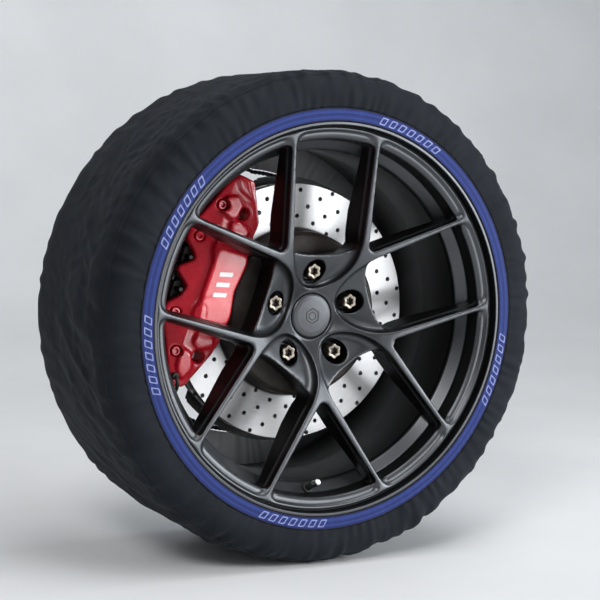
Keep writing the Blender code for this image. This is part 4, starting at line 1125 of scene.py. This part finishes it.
def caliper_distance(side):
    """Distance to one half, in the caliper's frame: radial, tangential, and depth from the disc's middle."""
    def distance(a, t, d):
        def block(corners, rounding, low, high, soft=4):
            return meet(outline_distance(a, t, softened(corners, rounding)), slab(d, low, high), soft)

        front = CALIPER_FRONT - 0.34 * np.maximum(a - 160, 0)
        body = meet(outline_distance(a, t, caliper_outline(side)), np.maximum(0.3 - d, d - front), 4)
        if side > 0:
            label = [(157, -46), (159, 20), (154, 56), (114, 50), (111, 34), (117, 4), (111, -34), (114, -48)]
            body = join(body, block(label, 7, 40, 64.5 - 0.05 * np.maximum(a - 140, 0), 3), 3)
            ends = [[(150, -84), (168, -92), (166, -112), (150, -118), (138, -108), (140, -92)],
                    [(126, -58), (146, -60), (150, -82), (140, -88), (118, -80)],
                    [(126, 60), (146, 62), (150, 82), (140, 90), (118, 80)],
                    [(146, 96), (164, 92), (160, 122), (148, 134), (138, 116)]]
            for index, corners in enumerate(ends):
                body = join(body, block(corners, 5, 30, (60.5, 61.5, 60.5, 58.5)[index]), 4)
            body = join(body, block([(126, -118), (150, -126), (160, -142), (142, -143)], 6, 30, 57.5), 4)
            groove = softened([(157, 30), (150, 34), (146, 44), (146, 60), (170, 60), (170, 30)], 5)
            body = cut(body, np.maximum(np.abs(outline_distance(a, t, groove)) - 0.8, 62.8 - d), 0.8)
        for spot in PISTONS:
            body = join(body, meet(rod(a, t, spot, 25), slab(d, 40, 61), 4), 5)
        if side < 0:
            for spot in EARS:
                body = join(body, meet(rod(a, t, spot, 14), slab(d, 40, 68.6), 2), 5)
        centre = np.hypot(a, t)
        body = cut(body, np.maximum(centre - 179.5, d - 19.3), 2)
        body = cut(body, np.maximum(slab(a, 90, 180.5), np.maximum(np.abs(t) - 66, slab(d, 14, 33))), 1.5)
        body = cut(body, np.maximum(slab(a, 170, 215), np.maximum(np.abs(t) - 40, slab(d, -2, 33))), 2.5)
        for spot in PISTONS:
            body = cut(body, np.maximum(rod(a, t, spot, 20.4), slab(d, 25, 52)), 1.2)
        for spot in PAD_PINS:
            body = cut(body, np.maximum(rod(a, t, spot, 3.6), slab(d, 20, 60)), 1.2)
        eyes = ((133, -98), (133, 98)) if side > 0 else ((133, -96), (133, 96))
        for spot in eyes:
            body = cut(body, np.maximum(rod(a, t, spot, 8.6), 15 - d), 3.5)
        if side > 0:
            body = cut(body, np.maximum(centre - 117.5, d - 52.5), 1.5)
            for spot in BRIDGE_BOLTS:
                front_there = CALIPER_FRONT - 0.34 * max(spot[0] - 160, 0)
                body = cut(body, np.maximum(rod(a, t, spot, 7.4), front_there - 5 - d), 1.2)
        return body
    return distance


def make_caliper():
    for label, side in (("outer", 1), ("inner", -1)):
        points, faces = solid_mesh(caliper_distance(side), (98, -150, -1), (200, 150, 70), 1.35)
        points[:, 2] = DISC_MIDDLE + side * points[:, 2]
        if side < 0:
            faces = faces[:, ::-1]
        piece(f"caliper_{label}_casting", placed(points, CALIPER_TURN), faces, "knuckle", "red_caliper_paint",
              f"caliper_{label}_half", flat_faces=False)
    make_caliper_print()
    for number, spot in enumerate(BRIDGE_BOLTS, start=1):
        front = DISC_MIDDLE + CALIPER_FRONT - 0.34 * max(spot[0] - 160, 0)
        profile = [(0, front - 3), (2.6, front - 3), (3.4, front + 0.6), (5.6, front + 0.6),
                   (6.6, front - 0.8), (6.6, front - 4.6), (5, front - 4.6), (5, -46), (0, -46)]
        lathe(f"bridge_bolt_{number}", profile, "knuckle", "zinc_plate", spot, 36, 0.4, place=CALIPER_TURN,
              look=LOOKS["red_caliper_paint"])
    for number, spot in enumerate(EARS, start=1):
        hex_bolt(f"mounting_bolt_{number}", spot, -97, -88.3, 6, -30, 9, "zinc_plate", place=CALIPER_TURN)
    for number, spot in enumerate(PAD_PINS, start=1):
        low, high = DISC_MIDDLE - 50, DISC_MIDDLE + 46
        pin = [(0, low), (2.6, low), (3, low + 0.8), (3, high - 0.8), (2.6, high), (0, high)]
        # The pad pins are steel, drawn near black: painted shade where they sit low in the caliper.
        lathe(f"pad_pin_{number}", pin, "knuckle", "bright_steel", spot, 28, 0.3, place=CALIPER_TURN,
              look=DARK_SHIELD_AND_PAINTED_SHADE)
    make_spring()
    make_pads()
    make_plumbing()


def make_caliper_print():
    """Three plain slanted stripes on the raised pad of the caliper."""
    parts = []
    for index in range(3):
        middle = -14 + 14 * index
        corners = [(127, middle - 6), (146, middle - 1), (146, middle + 5), (127, middle)]
        parts.append(plate_mesh(softened(corners, 1.2, 3), DISC_MIDDLE + 64.1, DISC_MIDDLE + 64.75, (), 0.15))
    piece("caliper_stripes", *merged(parts, CALIPER_TURN), "knuckle", "red_caliper_paint", look=WHITE_PRINT)


def make_spring():
    """Leaf spring that lies over the pads' tabs."""
    along = np.linspace(-34, 34, 40)[:, None]
    depth = DISC_MIDDLE + np.append(np.linspace(-22, 22, 30), np.linspace(22, -22, 30))[None, :]
    lift = 187.6 + 0.35 * np.cos(along / 34 * math.pi) + np.repeat([0.35, -0.35], 30)[None, :]
    points = np.stack(np.broadcast_arrays(lift, along, depth), axis=-1).reshape(-1, 3)
    ends = [list(range(60)), list(range(39 * 60, 40 * 60))[::-1]]
    faces = grid_faces(40, 60, wrap_rows=False).tolist() + ends
    piece("pad_spring_leaf", placed(points, CALIPER_TURN), faces, "knuckle", "bright_steel", "pad_spring")


def pad_outline(inner, outer, half):
    return arc(inner, -half, half, 16) + arc(outer, half, -half, 16)


def on_side(side, profile):
    """Profile whose heights, given from the disc's middle, are on one side of it."""
    return [(radius, DISC_MIDDLE + side * height) for radius, height in profile]


def make_pads():
    for label, side in (("outer", 1), ("inner", -1)):
        body = f"{label}_pad"
        spans = [sorted((DISC_MIDDLE + side * near, DISC_MIDDLE + side * far)) for near, far in
                 ((16.6, 26.3), (26.6, 31.6))]
        plate(f"{label}_lining_block", softened(pad_outline(120, 171, 20), 2), *spans[0], body,
              "friction_lining", f"{label}_pad_lining", bevel=0.8, place=CALIPER_TURN)
        tabs = [(189, 34), (189, 14), polar(173, 2), polar(173, -2), (189, -14), (189, -34)]
        outline = arc(118, -21, 21, 16) + arc(173, 21, 13, 5) + tabs + arc(173, -13, -21, 5)
        holes = [ring_outline(3.4, 24, spot) for spot in PAD_PINS]
        plate(f"{label}_plate_sheet", outline, *spans[1], body, "cast_iron", f"{label}_pad_plate", holes, 0.4,
              CALIPER_TURN)
    number = 0
    for side in (1, -1):
        for spot in PISTONS:
            number += 1
            profile = [(0, 46), (15, 46), (15, 31.9), (20, 31.9), (20, 37), (19.6, 37.4), (19.6, 38.6),
                       (20, 39), (20, 49.5), (19, 50.5), (0, 50.5)]
            piston = f"piston_{number}"
            lathe(piston, on_side(side, profile), piston, "bright_steel", spot, 64, place=CALIPER_TURN)


def make_plumbing():
    """Bleed screws, and the pipe that joins the two halves."""
    for label, side, spot in (("outer", 1, (165, -68)), ("inner", -1, (169, -97))):
        base = CALIPER_FRONT + (0.3 if side < 0 else -1.0)
        profile = [(0, base + 12), (2.2, base + 12), (3, base + 11), (3.2, base + 10), (3, base + 6),
                   (5.4, base + 5), (5.4, base + 0.4), (5, base), (0, base)]
        lathe(f"bleed_screw_{label}", on_side(side, profile), "knuckle", "zinc_plate", spot, 40, 0.4,
              place=CALIPER_TURN)
    low, high = DISC_MIDDLE - CALIPER_FRONT, DISC_MIDDLE + CALIPER_FRONT
    route = [(159, 131, high), (159, 131.6, high + 5), (157.5, 135, high + 8.5), (154.5, 142, high + 8.2),
             (151.5, 148, high + 3), (150.5, 150, high - 6), (150.5, 150, DISC_MIDDLE), (150.5, 150, low + 6),
             (151.5, 148, low - 3), (154.5, 142, low - 8.2), (157.5, 135, low - 8.5), (159, 131.6, low - 5),
             (159, 131, low)]
    parts = [pipe_mesh(route, 2.4)]
    for height in (high + 3.4, low - 3.4):
        union = [(0, height - 3), (4.4, height - 3), (4.8, height - 2), (4.8, height + 2), (4.4, height + 3),
                 (0, height + 3)]
        points, faces = lathe_points(union, 24, 0.3)
        parts.append((points + (159, 131, 0), faces))
    # The pipe is steel, drawn near black: painted shade, so it sinks into the dark behind the caliper.
    piece("crossover_pipe_body", *merged(parts, CALIPER_TURN), "knuckle", "bright_steel", "crossover_pipe",
          DARK_SHIELD_AND_PAINTED_SHADE)


# ---------------------------------------------------------------- studio

def area_light(name, spot, target, width, height, power, colour=(1, 1, 1)):
    data = bpy.data.lights.new(name, "AREA")
    data.shape = "RECTANGLE"
    data.size, data.size_y = width, height
    data.energy = power
    data.color = colour
    made = bpy.data.objects.new(name, data)
    bpy.context.scene.collection.objects.link(made)
    made.location = spot
    made.rotation_euler = (Vector(target) - Vector(spot)).to_track_quat("-Z", "Y").to_euler()


def make_camera():
    azimuth, elevation, roll = math.radians(-28.81), math.radians(5.72), math.radians(1.76)
    distance = 2.301
    back = Vector((math.sin(azimuth) * math.cos(elevation), -math.cos(azimuth) * math.cos(elevation),
                   math.sin(elevation)))
    right = Vector((math.cos(azimuth), math.sin(azimuth), 0))
    up = back.cross(right)
    across = right * math.cos(roll) + up * math.sin(roll)
    above = up * math.cos(roll) - right * math.sin(roll)
    data = bpy.data.cameras.new("camera")
    data.sensor_width = 36.0
    data.lens = 100.6
    data.shift_x = 0.0203
    data.shift_y = 0.018
    made = bpy.data.objects.new("camera", data)
    bpy.context.scene.collection.objects.link(made)
    turn = Matrix((across, above, back)).transposed().to_4x4()
    made.matrix_world = Matrix.Translation(back * distance) @ turn
    bpy.context.scene.camera = made


def make_studio():
    floor_height = CAD_BOX[0][2] - 0.002
    reach = [(-2.6, 0.0), (-1.2, 0.0), (0.0, 0.0), (1.4, 0.0), (2.2, 0.12), (2.8, 0.6), (3.1, 1.4),
             (3.2, 3.6)]
    smooth = softened(reach, 0.5, 8, closed=False)
    points = [(x, y, floor_height + z) for x in (-5.0, 5.0) for y, z in smooth]
    count = len(smooth)
    faces = [(i, i + 1, count + i + 1, count + i)[::-1] for i in range(count - 1)]
    mesh = bpy.data.meshes.new("studio_floor")
    mesh.from_pydata(points, [], faces)
    mesh.shade_smooth()
    mesh.materials.append(grained("pale_floor", (0.74, 0.75, 0.76), (0.80, 0.81, 0.82), (0.5, 0.6), patches=2,
                                  grain=300, depth=0.1, strength=0.1))
    floor = bpy.data.objects.new("studio_floor", mesh)
    bpy.context.scene.collection.objects.link(floor)
    world = bpy.data.worlds.new("studio")
    world.use_nodes = True
    world.node_tree.nodes["Background"].inputs["Color"].default_value = (0.84, 0.90, 1.0, 1.0)
    world.node_tree.nodes["Background"].inputs["Strength"].default_value = 0.16
    bpy.context.scene.world = world
    area_light("key", (-2.0, -2.2, 2.2), (0, 0, 0), 1.2, 1.0, 56, (1.0, 0.98, 0.96))
    area_light("right_wall", (2.5, -2.3, 0.7), (0, 0, 0), 2.2, 1.8, 115, (0.95, 0.98, 1.0))
    area_light("top", (0.4, -0.5, 2.6), (0, 0, 0), 2.4, 1.4, 46)
    area_light("low_front", (0.9, -2.6, -0.15), (0, 0, 0), 1.6, 0.3, 10)
    bpy.context.scene.view_settings.view_transform = "Standard"


make_camera()
make_studio()
make_rim()
make_spokes()
make_cap()
make_fasteners()
make_valve()
make_sock()
make_band()
make_disc()
make_hub()
make_knuckle()
make_caliper()
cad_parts["tyre"].data.materials[0] = LOOKS["tyre_rubber"]
